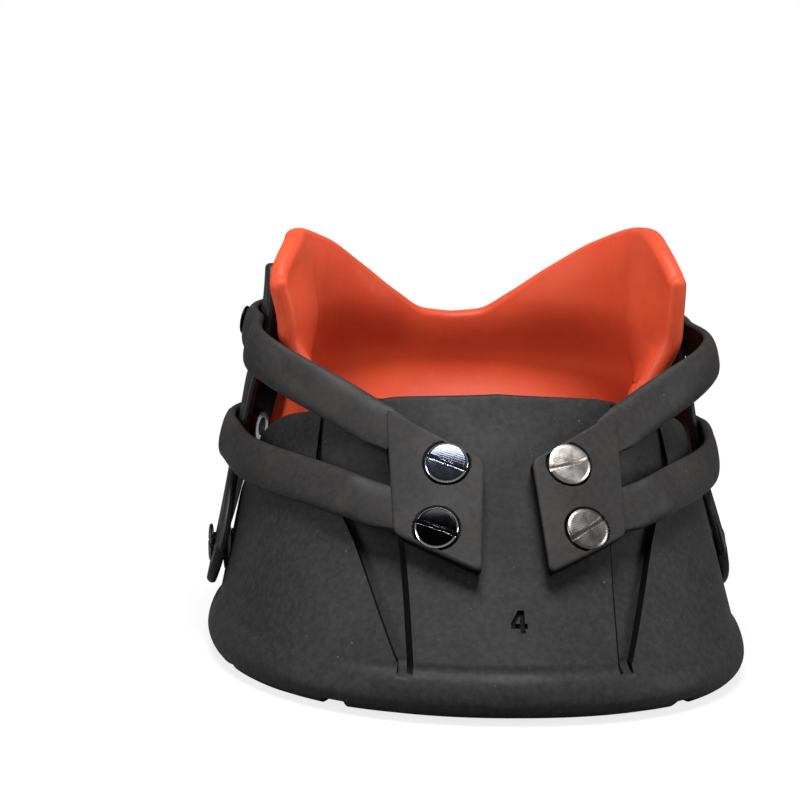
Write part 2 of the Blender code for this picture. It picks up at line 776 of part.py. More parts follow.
def sheet_column(skin, share, bottom, top, thickness):
    """Closed loop of one column of a sheet with rounded lower and upper edges."""
    half = 0.5 * thickness
    stations = [bottom + half + (top - bottom - thickness) * row / CUFF_ROWS for row in range(CUFF_ROWS + 1)]
    frames = []
    for z in stations:
        normal = skin_normal(skin, share, z, NORMAL_SHARE_STEP, NORMAL_HEIGHT_STEP)
        if normal.dot(Vector((skin(share, z).x, skin(share, z).y - CUFF_WIDEST_Y, 0.0))) < 0.0:
            normal = -normal
        frames.append((skin(share, z), normal))
    loop = [point + normal * half for point, normal in frames]
    for (point, normal), sense in ((frames[-1], 1.0), (frames[0], -1.0)):
        for step in range(1, EDGE_STEPS + 1):
            turn = math.pi * step / (EDGE_STEPS + 1)
            out = half * math.cos(turn) * sense
            rise = half * math.sin(turn) * sense
            loop.append(point + normal * out + Vector((0.0, 0.0, rise)))
        if sense > 0.0:
            loop += [point + normal * -half for point, normal in reversed(frames)]
    return loop


def sheet_solid(name, skin, bottom_of, top_of, thickness, material):
    """Curved sheet from front edge to front edge, with rounded rims all round."""
    shares = [2.0 * column / CUFF_COLUMNS - 1.0 for column in range(CUFF_COLUMNS + 1)]
    columns = [sheet_column(skin, s, bottom_of(s), top_of(s), thickness) for s in shares]
    for end in (0, -1):
        loop = columns[end]
        rounded = []
        for point, mate in zip(loop, mirrored_loop(loop)):
            middle = 0.5 * (point + mate)
            rounded.append(middle + (point - middle) * EDGE_TAPER_SHARE + Vector((0.0, -EDGE_AHEAD_SHARE * thickness, 0.0)))
        columns.insert(0 if end == 0 else len(columns), rounded)
    return add_object(name, loft_rings(columns), material)


def mirrored_loop(loop):
    """Each point's mate on the other face of a column."""
    rows = CUFF_ROWS + 1
    outer = loop[:rows]
    crown = loop[rows:rows + EDGE_STEPS]
    inner = loop[rows + EDGE_STEPS:2 * rows + EDGE_STEPS]
    keel = loop[2 * rows + EDGE_STEPS:]
    return inner[::-1] + crown[::-1] + outer[::-1] + keel[::-1]


def liner_top(share):
    """Height of the liner's rim: dip at the heel, peak at the side, lower at the front."""
    heights = [LINER_DIP_Z + (LINER_PEAK_Z - LINER_DIP_Z) * rise for rise in LINER_TOP_RISE_SHARES]
    return eased_table(LINER_TOP_PLACE_SHARES, heights + [LINER_CORNER_Z], abs(share))


def liner_bottom(share):
    """Height of the liner's lower edge, higher where the wings reach forward."""
    climb = smooth_share((abs(share) - CUFF_SIDE_SHARE) / (1.0 - CUFF_SIDE_SHARE))
    return LINER_BOTTOM_Z + (LINER_FRONT_BOTTOM_Z - LINER_BOTTOM_Z) * climb


def wrap_top(share):
    """Height of the wrap's rim, a little below the liner's."""
    heights = [WRAP_DIP_Z + (WRAP_EAR_Z - WRAP_DIP_Z) * rise for rise in WRAP_TOP_RISE_SHARES]
    return eased_table(WRAP_TOP_PLACE_SHARES, heights, abs(share))


def wrap_low(share):
    """Height of the wrap's lower edge at one column."""
    return wrap_bottom(wrap_skin(share, PIVOT_Z).y)


def build_liner(material):
    """Padded soft liner with its peaks, dip and bowl."""
    return sheet_solid("heel_liner", liner_skin, liner_bottom, liner_top, LINER_THICKNESS, material)


def build_wrap(material):
    """Heel wrap with its ears and the two pivot flaps."""
    return sheet_solid("heel_wrap", wrap_skin, wrap_low, wrap_top, WRAP_THICKNESS, material)


def wrap_share_at(y, z):
    """Share along the wrap whose side lies at a given Y."""
    low, high = 0.0, 1.0
    for _ in range(HALVINGS):
        middle = 0.5 * (low + high)
        if wrap_skin(middle, z).y > y:
            low = middle
        else:
            high = middle
    return 0.5 * (low + high)


def wrap_frame(side, share, z):
    """Point and outward normal on the middle of the wrap, smoothed over a strap's width."""
    point = wrap_skin(side * share, z)
    normal = skin_normal(wrap_skin, side * share, z, NORMAL_SHARE_STEP, 0.5 * ARM_WIDTH)
    if normal.dot(Vector((point.x, point.y - CUFF_WIDEST_Y, 0.0))) < 0.0:
        normal = -normal
    return point, normal


def strap_bed():
    """Distance of a strap's back from the middle of the wrap."""
    return 0.5 * WRAP_THICKNESS + WRAP_STRAP_GAP


def arm_stations(side, plate_z, side_z, heel_z):
    """Back-face points and normals of one arm, from the plate round to the heel."""
    stations = []
    start_x = PLATE_OUTER_X - ARM_PLATE_OVERLAP
    start = wall_angle(start_x, plate_z)
    turn = ARM_SIDE_ANGLE
    for share in ARM_WALL_SHARES:
        angle = start + (turn - start) * share
        z = plate_z + (side_z - plate_z) * share
        outward = plate_inner() + ARM_LIFT_STEP + ARM_STAND_OFF * share
        stations.append((wall_point(side * angle, z, outward), wall_normal(side * angle, z)))
    stations.append(arm_carry(side, heel_z - ARM_CARRY_DROP))
    end_share = wrap_end_share(heel_z)
    shares = [1.0]
    for step in range(ARM_BED_STEPS + 1):
        shares.append(CUFF_SIDE_SHARE + (end_share - CUFF_SIDE_SHARE) * step / ARM_BED_STEPS)
    for share in shares:
        point, normal = wrap_frame(side, share, heel_z)
        stations.append((point + normal * strap_bed(), normal))
    return stations


def arm_carry(side, z):
    """Back-face point and normal where an arm rides past the liner's front wing."""
    wing = abs(liner_skin(side, z).x) + 0.5 * LINER_THICKNESS + LINER_STRAP_GAP
    wall = wall_half_width(ARM_CARRY_Y, z) + (plate_inner() + ARM_STAND_OFF) / math.cos(SIDE_LEAN)
    turn = ARM_CARRY_TURN if wing > wall else 0.0
    normal = Vector((side * math.cos(turn), -math.sin(turn), math.tan(SIDE_LEAN))).normalized()
    return Vector((side * max(wing, wall), ARM_CARRY_Y, z)), normal


def wrap_end_share(z):
    """Share at which a strap's free end stops, where the wrap still stands high enough to carry it."""
    low, high = 0.0, CUFF_SIDE_SHARE
    for _ in range(HALVINGS):
        middle = 0.5 * (low + high)
        if wrap_skin(middle, z).x < STRAP_END_X or wrap_top(middle) < z + 0.5 * ARM_WIDTH:
            low = middle
        else:
            high = middle
    return 0.5 * (low + high)


def station_heading(points, index):
    """Direction of a route as it passes one of its stations."""
    last = len(points) - 1
    return (points[min(index + 1, last)] - points[max(index - 1, 0)]).normalized()


def curve_between(points, index, share):
    """Point and heading on the smooth curve between two stations."""
    start = points[index]
    end = points[index + 1]
    length = (end - start).length
    leave = station_heading(points, index) * length
    arrive = station_heading(points, index + 1) * length
    point = start * (2 * share ** 3 - 3 * share ** 2 + 1) + end * (3 * share ** 2 - 2 * share ** 3)
    point += leave * (share ** 3 - 2 * share ** 2 + share) + arrive * (share ** 3 - share ** 2)
    heading = start * (6 * share ** 2 - 6 * share) + end * (6 * share - 6 * share ** 2)
    heading += leave * (3 * share ** 2 - 4 * share + 1) + arrive * (3 * share ** 2 - 2 * share)
    return point, heading.normalized()


def smooth_route(stations):
    """Points, headings and normals sampled along a run of stations."""
    points = [point for point, _ in stations]
    frames = []
    for index in range(len(points) - 1):
        for step in range(ARM_SPLITS):
            share = step / ARM_SPLITS
            point, heading = curve_between(points, index, share)
            normal = stations[index][1].lerp(stations[index + 1][1], share)
            frames.append((point, heading, normal))
    point, heading = curve_between(points, len(points) - 2, 1.0)
    frames.append((point, heading, stations[-1][1]))
    return [(p, h, (n - h * n.dot(h)).normalized()) for p, h, n in frames]


def arm_solid(stations):
    """Domed rubber arm swept along its route, with a rounded free end."""
    half = 0.5 * ARM_WIDTH
    frames = [(point, heading, normal, 1.0) for point, heading, normal in smooth_route(stations)]
    tip, heading, normal, _ = frames[-1]
    for turn_share in ARM_TIP_SHARES:
        turn = 0.5 * math.pi * turn_share
        frames.append((tip + heading * (half * math.sin(turn)), heading, normal, math.cos(turn)))
    rings = []
    for point, heading, normal, trim in frames:
        across = heading.cross(normal)
        ring = []
        for width_share, edge_share, crown_share in ARM_SECTION_SHARES:
            rise = ARM_EDGE_THICKNESS * edge_share + ARM_CROWN * crown_share
            ring.append(point + across * (half * width_share * trim) + normal * rise)
        rings.append(ring)
    return add_object("arm", loft_rings(rings))


def build_strap(name, side, material):
    """Y-shaped strap: a plate with two screw seats and two arms with stud holes."""
    strap = plate_solid(name, side, 0.0, plate_inner(), plate_outer(), material)
    routes = (
        (UPPER_ARM_PLATE_Z, UPPER_ARM_SIDE_Z, STUD_UPPER_Z),
        (LOWER_ARM_PLATE_Z, LOWER_ARM_SIDE_Z, STUD_LOWER_Z),
    )
    for route in routes:
        apply_boolean(strap, arm_solid(arm_stations(side, *route)), "UNION")
    for place in screw_places(side):
        cut_cylinder(strap, place, 0.5 * SCREW_SHANK + FIT_GAP, -OVERRUN, plate_outer() + OVERRUN)
        seat = plate_outer() - POCKET_DEPTH
        cut_cylinder(strap, place, 0.5 * SCREW_HEAD + POCKET_CLEARANCE, seat, plate_outer() + OVERRUN)
    for z in (STUD_UPPER_Z, STUD_LOWER_Z):
        for place in hole_places(side, z):
            cut_cylinder(strap, place, 0.5 * STUD_SHANK + FIT_GAP, -OVERRUN, 2.0 * OVERRUN)
    finish_mesh(strap)
    return strap


def hole_places(side, z):
    """Placements of a strap's holes: the first on the stud, the rest towards the heel."""
    share = wrap_share_at(STUD_Y, z)
    places = []
    for _ in range(HOLE_COUNT):
        point, normal = wrap_frame(side, share, z)
        places.append(axis_matrix(point, normal))
        walked = 0.0
        while walked < HOLE_PITCH:
            share -= HOLE_WALK_SHARE
            following = wrap_frame(side, share, z)[0]
            walked += (following - point).length
            point = following
    return places


def build_strap_screws(label, side, material):
    """Two slotted large-head screws of one strap plate."""
    screws = []
    low = head_seat()
    high = low + SCREW_HEAD_HEIGHT
    radius = 0.5 * SCREW_HEAD
    shank = 0.5 * SCREW_SHANK
    edge = SCREW_HEAD_CROWN
    profile = (
        (shank, low - SCREW_LENGTH),
        (shank, low),
        (radius, low),
        (radius, high - edge),
        (radius - edge, high),
        (HEAD_FACE_SHARE * radius, high + HEAD_FACE_RISE_SHARE * edge),
        (HEAD_CENTRE_SHARE * radius, high + edge),
    )
    for level, place in zip(("upper", "lower"), screw_places(side)):
        screw = place_turned(f"strap_screw_{label}_{level}", profile, place, material)
        cut_drive_slot(screw, place, high, radius, SLOT_SPIN[(label, level)])
        finish_mesh(screw)
        screws.append(screw)
    return screws


def cut_drive_slot(screw, place, high, radius, spin):
    """Straight driver slot across a screw head."""
    mesh_edit = bmesh.new()
    bmesh.ops.create_cube(mesh_edit, size=1.0)
    size = (2.0 * radius + OVERRUN, DRIVE_SLOT_WIDTH, 2.0 * OVERRUN)
    bmesh.ops.scale(mesh_edit, vec=size, verts=mesh_edit.verts)
    cutter = add_object("drive_slot_cutter", mesh_edit)
    lift = Matrix.Translation((0.0, 0.0, high - DRIVE_SLOT_DEPTH + OVERRUN))
    cutter.matrix_world = place @ Matrix.Rotation(spin, 4, "Z") @ lift
    bpy.context.view_layer.update()
    apply_boolean(screw, cutter, "DIFFERENCE")


def build_tee_nuts(label, side, material):
    """Two tee nuts that hold one plate's screws from inside the shell."""
    nuts = []
    flange_top = nut_seat() - FIT_GAP
    bore = 0.5 * SCREW_SHANK + FIT_GAP
    profile = (
        (0.5 * NUT_FLANGE, flange_top - NUT_FLANGE_THICKNESS),
        (0.5 * NUT_FLANGE, flange_top),
        (0.5 * NUT_BARREL, flange_top),
        (0.5 * NUT_BARREL, STRAP_SEAT - FIT_GAP),
    )
    for level, place in zip(("upper", "lower"), screw_places(side)):
        nut = place_turned(f"tee_nut_{label}_{level}", profile, place, material)
        cut_cylinder(nut, place, bore, flange_top - OVERRUN, STRAP_SEAT + OVERRUN)
        finish_mesh(nut)
        nuts.append(nut)
    return nuts


def pivot_place(side, y=PIVOT_Y, z=PIVOT_Z):
    """Placement on the wall's skin whose Z runs out along the hinge axis."""
    point = Vector((side * wall_half_width(y, z), y, z))
    return axis_matrix(point, Vector((side, 0.0, 0.0)))


def flap_inner():
    """Distance along the hinge axis from the wall's skin to the flap's back."""
    return WRAP_SHELL_GAP / math.cos(SIDE_LEAN)


def flap_outer():
    """Distance along the hinge axis from the wall's skin to the flap's face."""
    return flap_inner() + WRAP_THICKNESS / math.cos(SIDE_LEAN)


def pivot_nut_seat():
    """Depth of the nut's flange face inside the wall, along the hinge axis."""
    return -WALL_THICKNESS / math.cos(SIDE_LEAN) + PIVOT_NUT_SINK


def cut_pivot_in_shell(shell, side):
    """Bush hole, outer spot face and inner nut pocket of one pivot."""
    place = pivot_place(side)
    deep = pivot_nut_seat() - 2.0 * OVERRUN
    cut_cylinder(shell, place, 0.5 * PIVOT_WASHER + FIT_GAP, 0.0, 2.0 * OVERRUN)
    cut_cylinder(shell, place, 0.5 * PIVOT_BARREL + FIT_GAP, deep, OVERRUN)
    cut_cylinder(shell, place, 0.5 * PIVOT_NUT_FLANGE + FIT_GAP, deep, pivot_nut_seat())


def cut_pivot_in_wrap(wrap, side):
    """Pivot hole through a flap, with flat faces for the washer and the head."""
    place = pivot_place(side)
    cut_cylinder(wrap, place, 0.5 * PIVOT_SHANK + FIT_GAP, -OVERRUN, 2.0 * OVERRUN)
    cut_cylinder(wrap, place, 0.5 * PIVOT_WASHER + FIT_GAP, -OVERRUN, flap_inner())
    cut_cylinder(wrap, place, 0.5 * PIVOT_HEAD + FIT_GAP, flap_outer(), flap_outer() + OVERRUN)


def build_pivot(label, side, material):
    """Pivot screw, washer and flanged bush nut of one side."""
    place = pivot_place(side)
    head_low = flap_outer() + FIT_GAP
    head_high = head_low + PIVOT_HEAD_HEIGHT
    bush_out = -FIT_GAP
    flange_out = pivot_nut_seat() - FIT_GAP
    flange_in = flange_out - NUT_FLANGE_THICKNESS
    shank = 0.5 * PIVOT_SHANK
    radius = 0.5 * PIVOT_HEAD
    edge = SCREW_HEAD_CROWN
    screw = place_turned(
        f"pivot_screw_{label}",
        (
            (shank, flange_in),
            (shank, head_low),
            (radius, head_low),
            (radius, head_high - edge),
            (radius - edge, head_high),
            (HEAD_CENTRE_SHARE * radius, head_high + edge),
        ),
        place,
        material,
    )
    cut_drive_slot(screw, place, head_high, radius, 0.0)
    finish_mesh(screw)
    washer_low = FIT_GAP
    washer_high = flap_inner() - FIT_GAP
    washer = place_turned(
        f"pivot_washer_{label}",
        ((0.5 * PIVOT_WASHER, washer_low), (0.5 * PIVOT_WASHER, washer_high)),
        place,
        material,
    )
    cut_cylinder(washer, place, shank + FIT_GAP, -OVERRUN, OVERRUN)
    finish_mesh(washer)
    nut = place_turned(
        f"pivot_nut_{label}",
        (
            (0.5 * PIVOT_NUT_FLANGE, flange_in),
            (0.5 * PIVOT_NUT_FLANGE, flange_out),
            (0.5 * PIVOT_BARREL, flange_out),
            (0.5 * PIVOT_BARREL, bush_out),
        ),
        place,
        material,
    )
    cut_cylinder(nut, place, shank + FIT_GAP, flange_in - OVERRUN, OVERRUN)
    finish_mesh(nut)
    return screw, washer, nut


def stud_places(side):
    """Placements of one side's studs on the middle of the wrap, upper then lower."""
    places = []
    for z in (STUD_UPPER_Z, STUD_LOWER_Z):
        point, normal = wrap_frame(side, wrap_share_at(STUD_Y, z), z)
        places.append(axis_matrix(point, normal))
    return places


def build_studs(label, side, stud_material, nut_material):
    """Two button studs with the nuts that hold them inside the wrap."""
    shank = 0.5 * STUD_SHANK
    radius = 0.5 * STUD_HEAD
    head_low = strap_bed() + ARM_EDGE_THICKNESS + ARM_CROWN + FIT_GAP
    head_high = head_low + STUD_HEAD_HEIGHT
    nut_out = -0.5 * WRAP_THICKNESS - FIT_GAP
    nut_in = nut_out - STUD_NUT_THICKNESS
    edge = SCREW_HEAD_CROWN
    profile = (
        (shank, nut_in),
        (shank, head_low),
        (radius, head_low),
        (radius, head_high - edge),
        (STUD_FACE_SHARE * radius, head_high),
        (STUD_CENTRE_SHARE * radius, head_high + STUD_FACE_RISE_SHARE * edge),
    )
    studs = []
    for level, place in zip(("upper", "lower"), stud_places(side)):
        studs.append(place_turned(f"strap_stud_{label}_{level}", profile, place, stud_material))
        outline = ((0.5 * STUD_NUT, nut_in), (0.5 * STUD_NUT, nut_out))
        nut = place_turned(f"stud_nut_{label}_{level}", outline, place, nut_material)
        cut_cylinder(nut, place, shank + FIT_GAP, nut_in - OVERRUN, nut_out + OVERRUN)
        finish_mesh(nut)
        studs.append(nut)
    return studs


def hang_on(parent, pieces):
    """Parent pieces to an empty and keep them where they are."""
    bpy.context.view_layer.update()
    for piece in pieces:
        piece.parent = parent
        piece.matrix_parent_inverse = parent.matrix_world.inverted()


def main():
    """Build every piece and hang the heel cuff on its hinge."""
    clear_scene()
    shell_rubber = make_material("shell_rubber", (0.030, 0.030, 0.032), 0.55)
    strap_rubber = make_material("strap_rubber", (0.045, 0.044, 0.044), 0.60)
    wrap_rubber = make_material("wrap_rubber", (0.022, 0.022, 0.024), 0.55)
    liner_foam = make_material("liner_foam", (0.75, 0.10, 0.045), 0.65)
    chrome = make_material("chrome", (0.75, 0.75, 0.75), 0.18, 1.0)
    satin_steel = make_material("satin_steel", (0.55, 0.53, 0.50), 0.35, 1.0)

    shell = build_shell(shell_rubber)
    wrap = build_wrap(wrap_rubber)
    moving = [build_liner(liner_foam), wrap]
    for label, side in SIDES.items():
        apply_boolean(shell, slot_cutter(side), "DIFFERENCE")
        seat = plate_solid("strap_seat", side, SEAT_INSET, -STRAP_SEAT, STRAP_SEAT)
        apply_boolean(shell, seat, "UNION")
        for place in screw_places(side):
            cut_screw_seats(shell, place)
        cut_pivot_in_shell(shell, side)
        cut_pivot_in_wrap(wrap, side)
        for place in stud_places(side):
            cut_cylinder(wrap, place, 0.5 * STUD_SHANK + FIT_GAP, -OVERRUN, OVERRUN)
            cut_cylinder(wrap, place, 0.5 * STUD_NUT + FIT_GAP, -OVERRUN, -0.5 * WRAP_THICKNESS)
        build_strap(f"strap_{label}", side, strap_rubber)
        build_strap_screws(label, side, chrome if side < 0.0 else satin_steel)
        build_tee_nuts(label, side, satin_steel)
        build_pivot(label, side, satin_steel)
        moving += build_studs(label, side, satin_steel, satin_steel)
    cut_tread(shell)
    finish_mesh(shell)
    finish_mesh(wrap)

    hinge = bpy.data.objects.new("cuff_hinge", None)
    hinge.location = (0.0, PIVOT_Y, PIVOT_Z)
    bpy.context.scene.collection.objects.link(hinge)
    hang_on(hinge, moving)


main()
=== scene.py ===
"""Horse hoof boot, dressed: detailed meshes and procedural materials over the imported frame."""

import math

import bmesh
import bpy
import numpy as np
from mathutils import Matrix, Vector


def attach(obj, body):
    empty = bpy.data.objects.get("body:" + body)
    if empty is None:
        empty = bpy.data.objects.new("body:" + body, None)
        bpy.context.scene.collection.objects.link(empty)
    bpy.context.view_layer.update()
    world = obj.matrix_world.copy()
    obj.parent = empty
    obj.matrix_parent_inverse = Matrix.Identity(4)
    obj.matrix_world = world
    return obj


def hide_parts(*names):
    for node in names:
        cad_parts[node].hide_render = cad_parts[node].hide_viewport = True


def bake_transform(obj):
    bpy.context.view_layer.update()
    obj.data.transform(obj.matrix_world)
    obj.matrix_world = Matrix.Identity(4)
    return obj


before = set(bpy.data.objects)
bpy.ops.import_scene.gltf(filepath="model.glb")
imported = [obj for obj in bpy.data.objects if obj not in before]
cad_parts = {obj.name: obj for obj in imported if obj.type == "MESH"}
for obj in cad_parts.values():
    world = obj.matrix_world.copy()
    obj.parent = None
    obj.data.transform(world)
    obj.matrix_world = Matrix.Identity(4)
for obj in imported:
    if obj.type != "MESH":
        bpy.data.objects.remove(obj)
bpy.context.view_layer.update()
TURN = 2.0 * math.pi
QUARTER = 0.5 * math.pi
SIDES = {"left": -1.0, "right": 1.0}

# Sole rim, in metres as all sizes are
RIM_WIDTH = 0.128
RIM_LENGTH = 0.130
RIM_HEIGHT = 0.010
RIM_WIDEST_Y = 0.002
RIM_SHOULDER = 0.0025
RIM_EDGE_ROUND = 0.0045
RIM_CREST_SHARE = 0.78
TOE_ROCKER_REACH = 0.0060
TOE_ROCKER_LIFT = 0.0022
TOE_ROCKER_DRAW = 0.35
OUTLINE_POWER = 2.2

# Shell wall
WALL_THICKNESS = 0.0042
WALL_FOOT_Z = 0.0104
WALL_BASE_Z = 0.0126
FLOOR_TOP = 0.0085
FLOOR_FILLET = 0.0035
TOE_ANGLE = math.radians(53.0)
SIDE_LEAN = math.radians(12.5)
HEEL_LEAN = math.radians(9.0)
WIDEST_LEAN = math.radians(24.0)
LIP_ROUND = 0.0012
CREASE_SAG = 0.0004
CREASE_PLACE = 0.86
CREASE_WIDTH = 0.12

# Heights of the shell's top edge, from the toe to the heel
TOE_TOP = 0.0670
LOBE_TOP = 0.0580
TOP_EDGE_ANGLES = (0.0, 26.0, 44.0, 64.0, 80.0, 94.0, 110.0, 140.0, 180.0)
TOP_EDGE_HEIGHTS = (TOE_TOP, 0.0655, 0.0615, LOBE_TOP, 0.0520, 0.0370, 0.0240, 0.0180, 0.0180)

# Slots beside the tongue: outer edge by height, as a share of the way to the side
SLOT_TONGUE_X = 0.0232
SLOT_FOOT_Z = 0.0118
SLOT_PLACES = (SLOT_FOOT_Z, 0.034, 0.056, TOE_TOP)
SLOT_SHARES = (0.09, 0.34, 0.676, 0.676)
SLOT_EDGE = 0.0006
SLOT_OUTER_TOP = 0.0500
SLOT_INNER_TOP = 0.0615
SLOT_SINK = 0.0026
SINK_LEAST = 0.65
SINK_FADE = 0.60
SINK_FADE_Z = 0.0440
SINK_FADE_RUN = 0.0110
LEDGE_Z = 0.0090
LEDGE_RUN = 0.0034
TONGUE_DRAFT = 0.0010
TONGUE_FLARE = 0.0055
# Step in slot depth across a face, above which the face gets painted shade
SHADE_STEP = 0.3

# Tread
TREAD_DEPTH = 0.0024
TREAD_GROOVE = 0.0060
TREAD_GROOVE_ANGLES = (38.0, 74.0, 106.0, 142.0)
TREAD_RING_INSET = 0.0170
TREAD_CENTRE_SHARE = 0.92
TREAD_MARGINS = (0.0012, 0.0008, 0.0015)

# Engraved size digit
DIGIT_X = 0.0008
DIGIT_Z = 0.0212
DIGIT_WIDTH = 0.0038
DIGIT_HEIGHT = 0.0056
DIGIT_DEPTH = 0.0009
DIGIT_OUTLINE = (
    (0.54, 0.0), (0.54, 0.20), (0.0, 0.20), (0.0, 0.44), (0.46, 1.0), (0.84, 1.0),
    (0.84, 0.42), (1.0, 0.42), (1.0, 0.20), (0.84, 0.20), (0.84, 0.0),
)
DIGIT_WINDOW = ((0.27, 0.42), (0.54, 0.42), (0.54, 0.74))

# Clearances and cuts
FIT_GAP = 0.0003
OVERRUN = 0.004
EDGE_BREAK = 0.0002

# Strap plates and arms
STRAP_SEAT = 0.0015
STRAP_GAP = 0.0003
SEAT_INSET = 0.0016
SEAT_EDGE = 0.0005
PLATE_THICKNESS = 0.0034
PLATE_INNER = STRAP_SEAT + STRAP_GAP
PLATE_OUTER = PLATE_INNER + PLATE_THICKNESS
PLATE_INNER_TOP_X = 0.0052
PLATE_INNER_BOTTOM_X = 0.0074
PLATE_OUTER_X = 0.0252
PLATE_TOP_Z = 0.0515
PLATE_BOTTOM_Z = 0.0290
PLATE_TOP_RISE = 0.0093
PLATE_BOTTOM_RISE = 0.0068
PLATE_CORNER = 0.0016
PLATE_EDGE_ROUND = 0.0007
PLATE_BACK_REACH = 0.0110
PLATE_SIDE_START = 0.15
ARM_WIDTH = 0.0104
ARM_EDGE_THICKNESS = 0.0020
ARM_CROWN = 0.0009
ARM_BACK_SHARE = 0.90
ARM_CORNER_SHARE = 0.42
ARM_SHOULDER_SHARE = 0.62
ARM_DOME_POWER = 2.6
ARM_BOW_POWER = 0.62
ARM_DOME_START = 0.6
ARM_TIP_TURN = 0.485 * math.pi
ARM_PLATE_OVERLAP = 0.0020
ARM_ROOT_RUN = 0.0110
ARM_ROOT_GROWTH = 0.13
ARM_ROOT_FLAT = 0.75
ARM_ROOT_TRIM = 0.16
ARM_ROOT_HIDDEN = 0.0065
ARM_START_DROPS = (0.0013, 0.0005)
HOLE_PITCH = 0.0120
HOLE_COUNT = 4

# Strap routes: centre heights at the plate and along the side, and how an arm rides there
ARM_HEIGHTS = {"upper": (0.0568, 0.0602), "lower": (0.0412, 0.0430)}
ARM_WALL_SHARES = (0.0, 0.5, 1.0)
ARM_SIDE_ANGLE = math.radians(38.0)
ARM_LIFT_STEP = 0.0002
ARM_STAND_OFF = 0.0010
ARM_CARRY_Y = 0.0010
ARM_CARRY_DROP = 0.0012
ARM_CARRY_TURN = math.radians(20.0)
ARM_BED_STEPS = 8
STRAP_END_X = 0.0110

# Front strap screws and their tee nuts
SCREW_SPOTS = {"upper": (0.0134, 0.0503), "lower": (0.0163, 0.0373)}
SCREW_HEAD = 0.0100
SCREW_HEAD_HEIGHT = 0.0019
SCREW_FACE_CROWN = 0.00025
SCREW_SHANK = 0.0050
SCREW_LENGTH = 0.0082
SCREW_ROUND = 0.00035
HEAD_FACE_SHARES = (0.92, 0.03)
DRIVE_SLOT_WIDTH = 0.0011
DRIVE_SLOT_DEPTH = 0.0010
SLOT_BEVEL = 0.00020
BEVEL_ANGLE = math.radians(50.0)
SLOT_SPIN = {
    ("left", "upper"): math.radians(-18.0),
    ("left", "lower"): math.radians(-17.0),
    ("right", "upper"): math.radians(11.0),
    ("right", "lower"): math.radians(28.0),
}
# Which faces of a screw take the rim's metal as a painted highlight: faces tilted from its axis, and those
# near its rim
RIM_NORMAL = 0.97
RIM_START_SHARE = 0.90
POCKET_DEPTH = 0.0018
POCKET_CLEARANCE = 0.0004
POCKET_EDGE = 0.0003
HEAD_SEAT = PLATE_OUTER - POCKET_DEPTH + FIT_GAP
NUT_FLANGE = 0.0105
NUT_FLANGE_THICKNESS = 0.0012
NUT_BARREL = 0.0070
NUT_SEAT = NUT_FLANGE_THICKNESS - WALL_THICKNESS

# Heel cuff: soft liner and stiff wrap
CUFF_WIDEST_Y = 0.024
CUFF_SIDE_SHARE = 0.70
BLEND_LENGTH = 0.0015
LINER_THICKNESS = 0.0042
LINER_HALF_WIDTH = 0.0440
LINER_FLARE = 0.0060
LINER_TOP_FLARE = 0.0035
LINER_REAR_Y = 0.0600
LINER_DIP_Z = 0.0730
LINER_PEAK_Z = 0.0995
LINER_CORNER_Z = 0.0915
LINER_FRONT_Y = 0.0020
LINER_BOTTOM_Z = 0.0290
LINER_FRONT_BOTTOM_Z = 0.0400
LINER_BOWL_Z = 0.0610
LINER_BOWL_REACH = 0.0190
LINER_SHELL_GAP = 0.0014
LINER_STRAP_GAP = 0.0010
LINER_FREE_RISE = 0.0080
LINER_LIP_GAP = 0.0015
LINER_WING_ROOM = 0.0120
LINER_TOP_PLACES = (0.0, 0.06, 0.13, 0.24, 0.39, 0.58, 0.70, 1.0)
LINER_TOP_RISES = (0.0, 0.03, 0.19, 0.47, 0.77, 0.97, 1.0)
WRAP_THICKNESS = 0.0024
WRAP_SIDE_ROOM = 0.0055
WRAP_EAR_ROOM = 0.0022
WRAP_REAR_SHARE = 0.35
WRAP_WAIST_Z = 0.0720
WRAP_EAR_Z = 0.0895
WRAP_DIP_Z = 0.0680
WRAP_BOTTOM_Z = 0.0410
WRAP_FRONT_Y = 0.0200
WRAP_LINER_GAP = 0.0003
WRAP_SHELL_GAP = 0.0015
WRAP_STRAP_GAP = 0.0008
WRAP_TOP_PLACES = (0.0, 0.10, 0.24, 0.39, 0.58, 0.75, 1.0)
WRAP_TOP_RISES = (0.0, 0.06, 0.38, 0.70, 0.93, 1.0, 0.86)
STRAP_BED = 0.5 * WRAP_THICKNESS + WRAP_STRAP_GAP

# How the soft liner departs from its plain sheet: corners, lean, free wings and padding
CORNER_START_SHARE = 0.70
CORNER_POWER = 2.6
LEFT_PEAK_DROP = 0.0018
LEFT_PEAK_START = 0.30
WING_START_SHARE = 0.60
WING_FREE_Z = 0.0775
WING_FREE_RISE = 0.0140
WING_OPEN = 0.0012
WING_LEAN = 0.0024
LOOK_FREE_RISE = 0.0200
LOOK_BLEND = 0.0140
LOOK_SOFT = 0.0050
LOOK_SOFT_RUN = 0.0140
END_ROUND = 1.2
END_DROP = 0.5
END_TURN = 0.46 * math.pi
PAD_FULL = 0.0040
PAD_FADE = 0.0090
PAD_END_SHARE = 0.28
PAD_EDGE_SHARE = 0.15
PAD_FOOT = 0.0200
UNDERCUT_SHARE = 0.75
UNDERCUT_Z = 0.0790
UNDERCUT_RUN = 0.0170

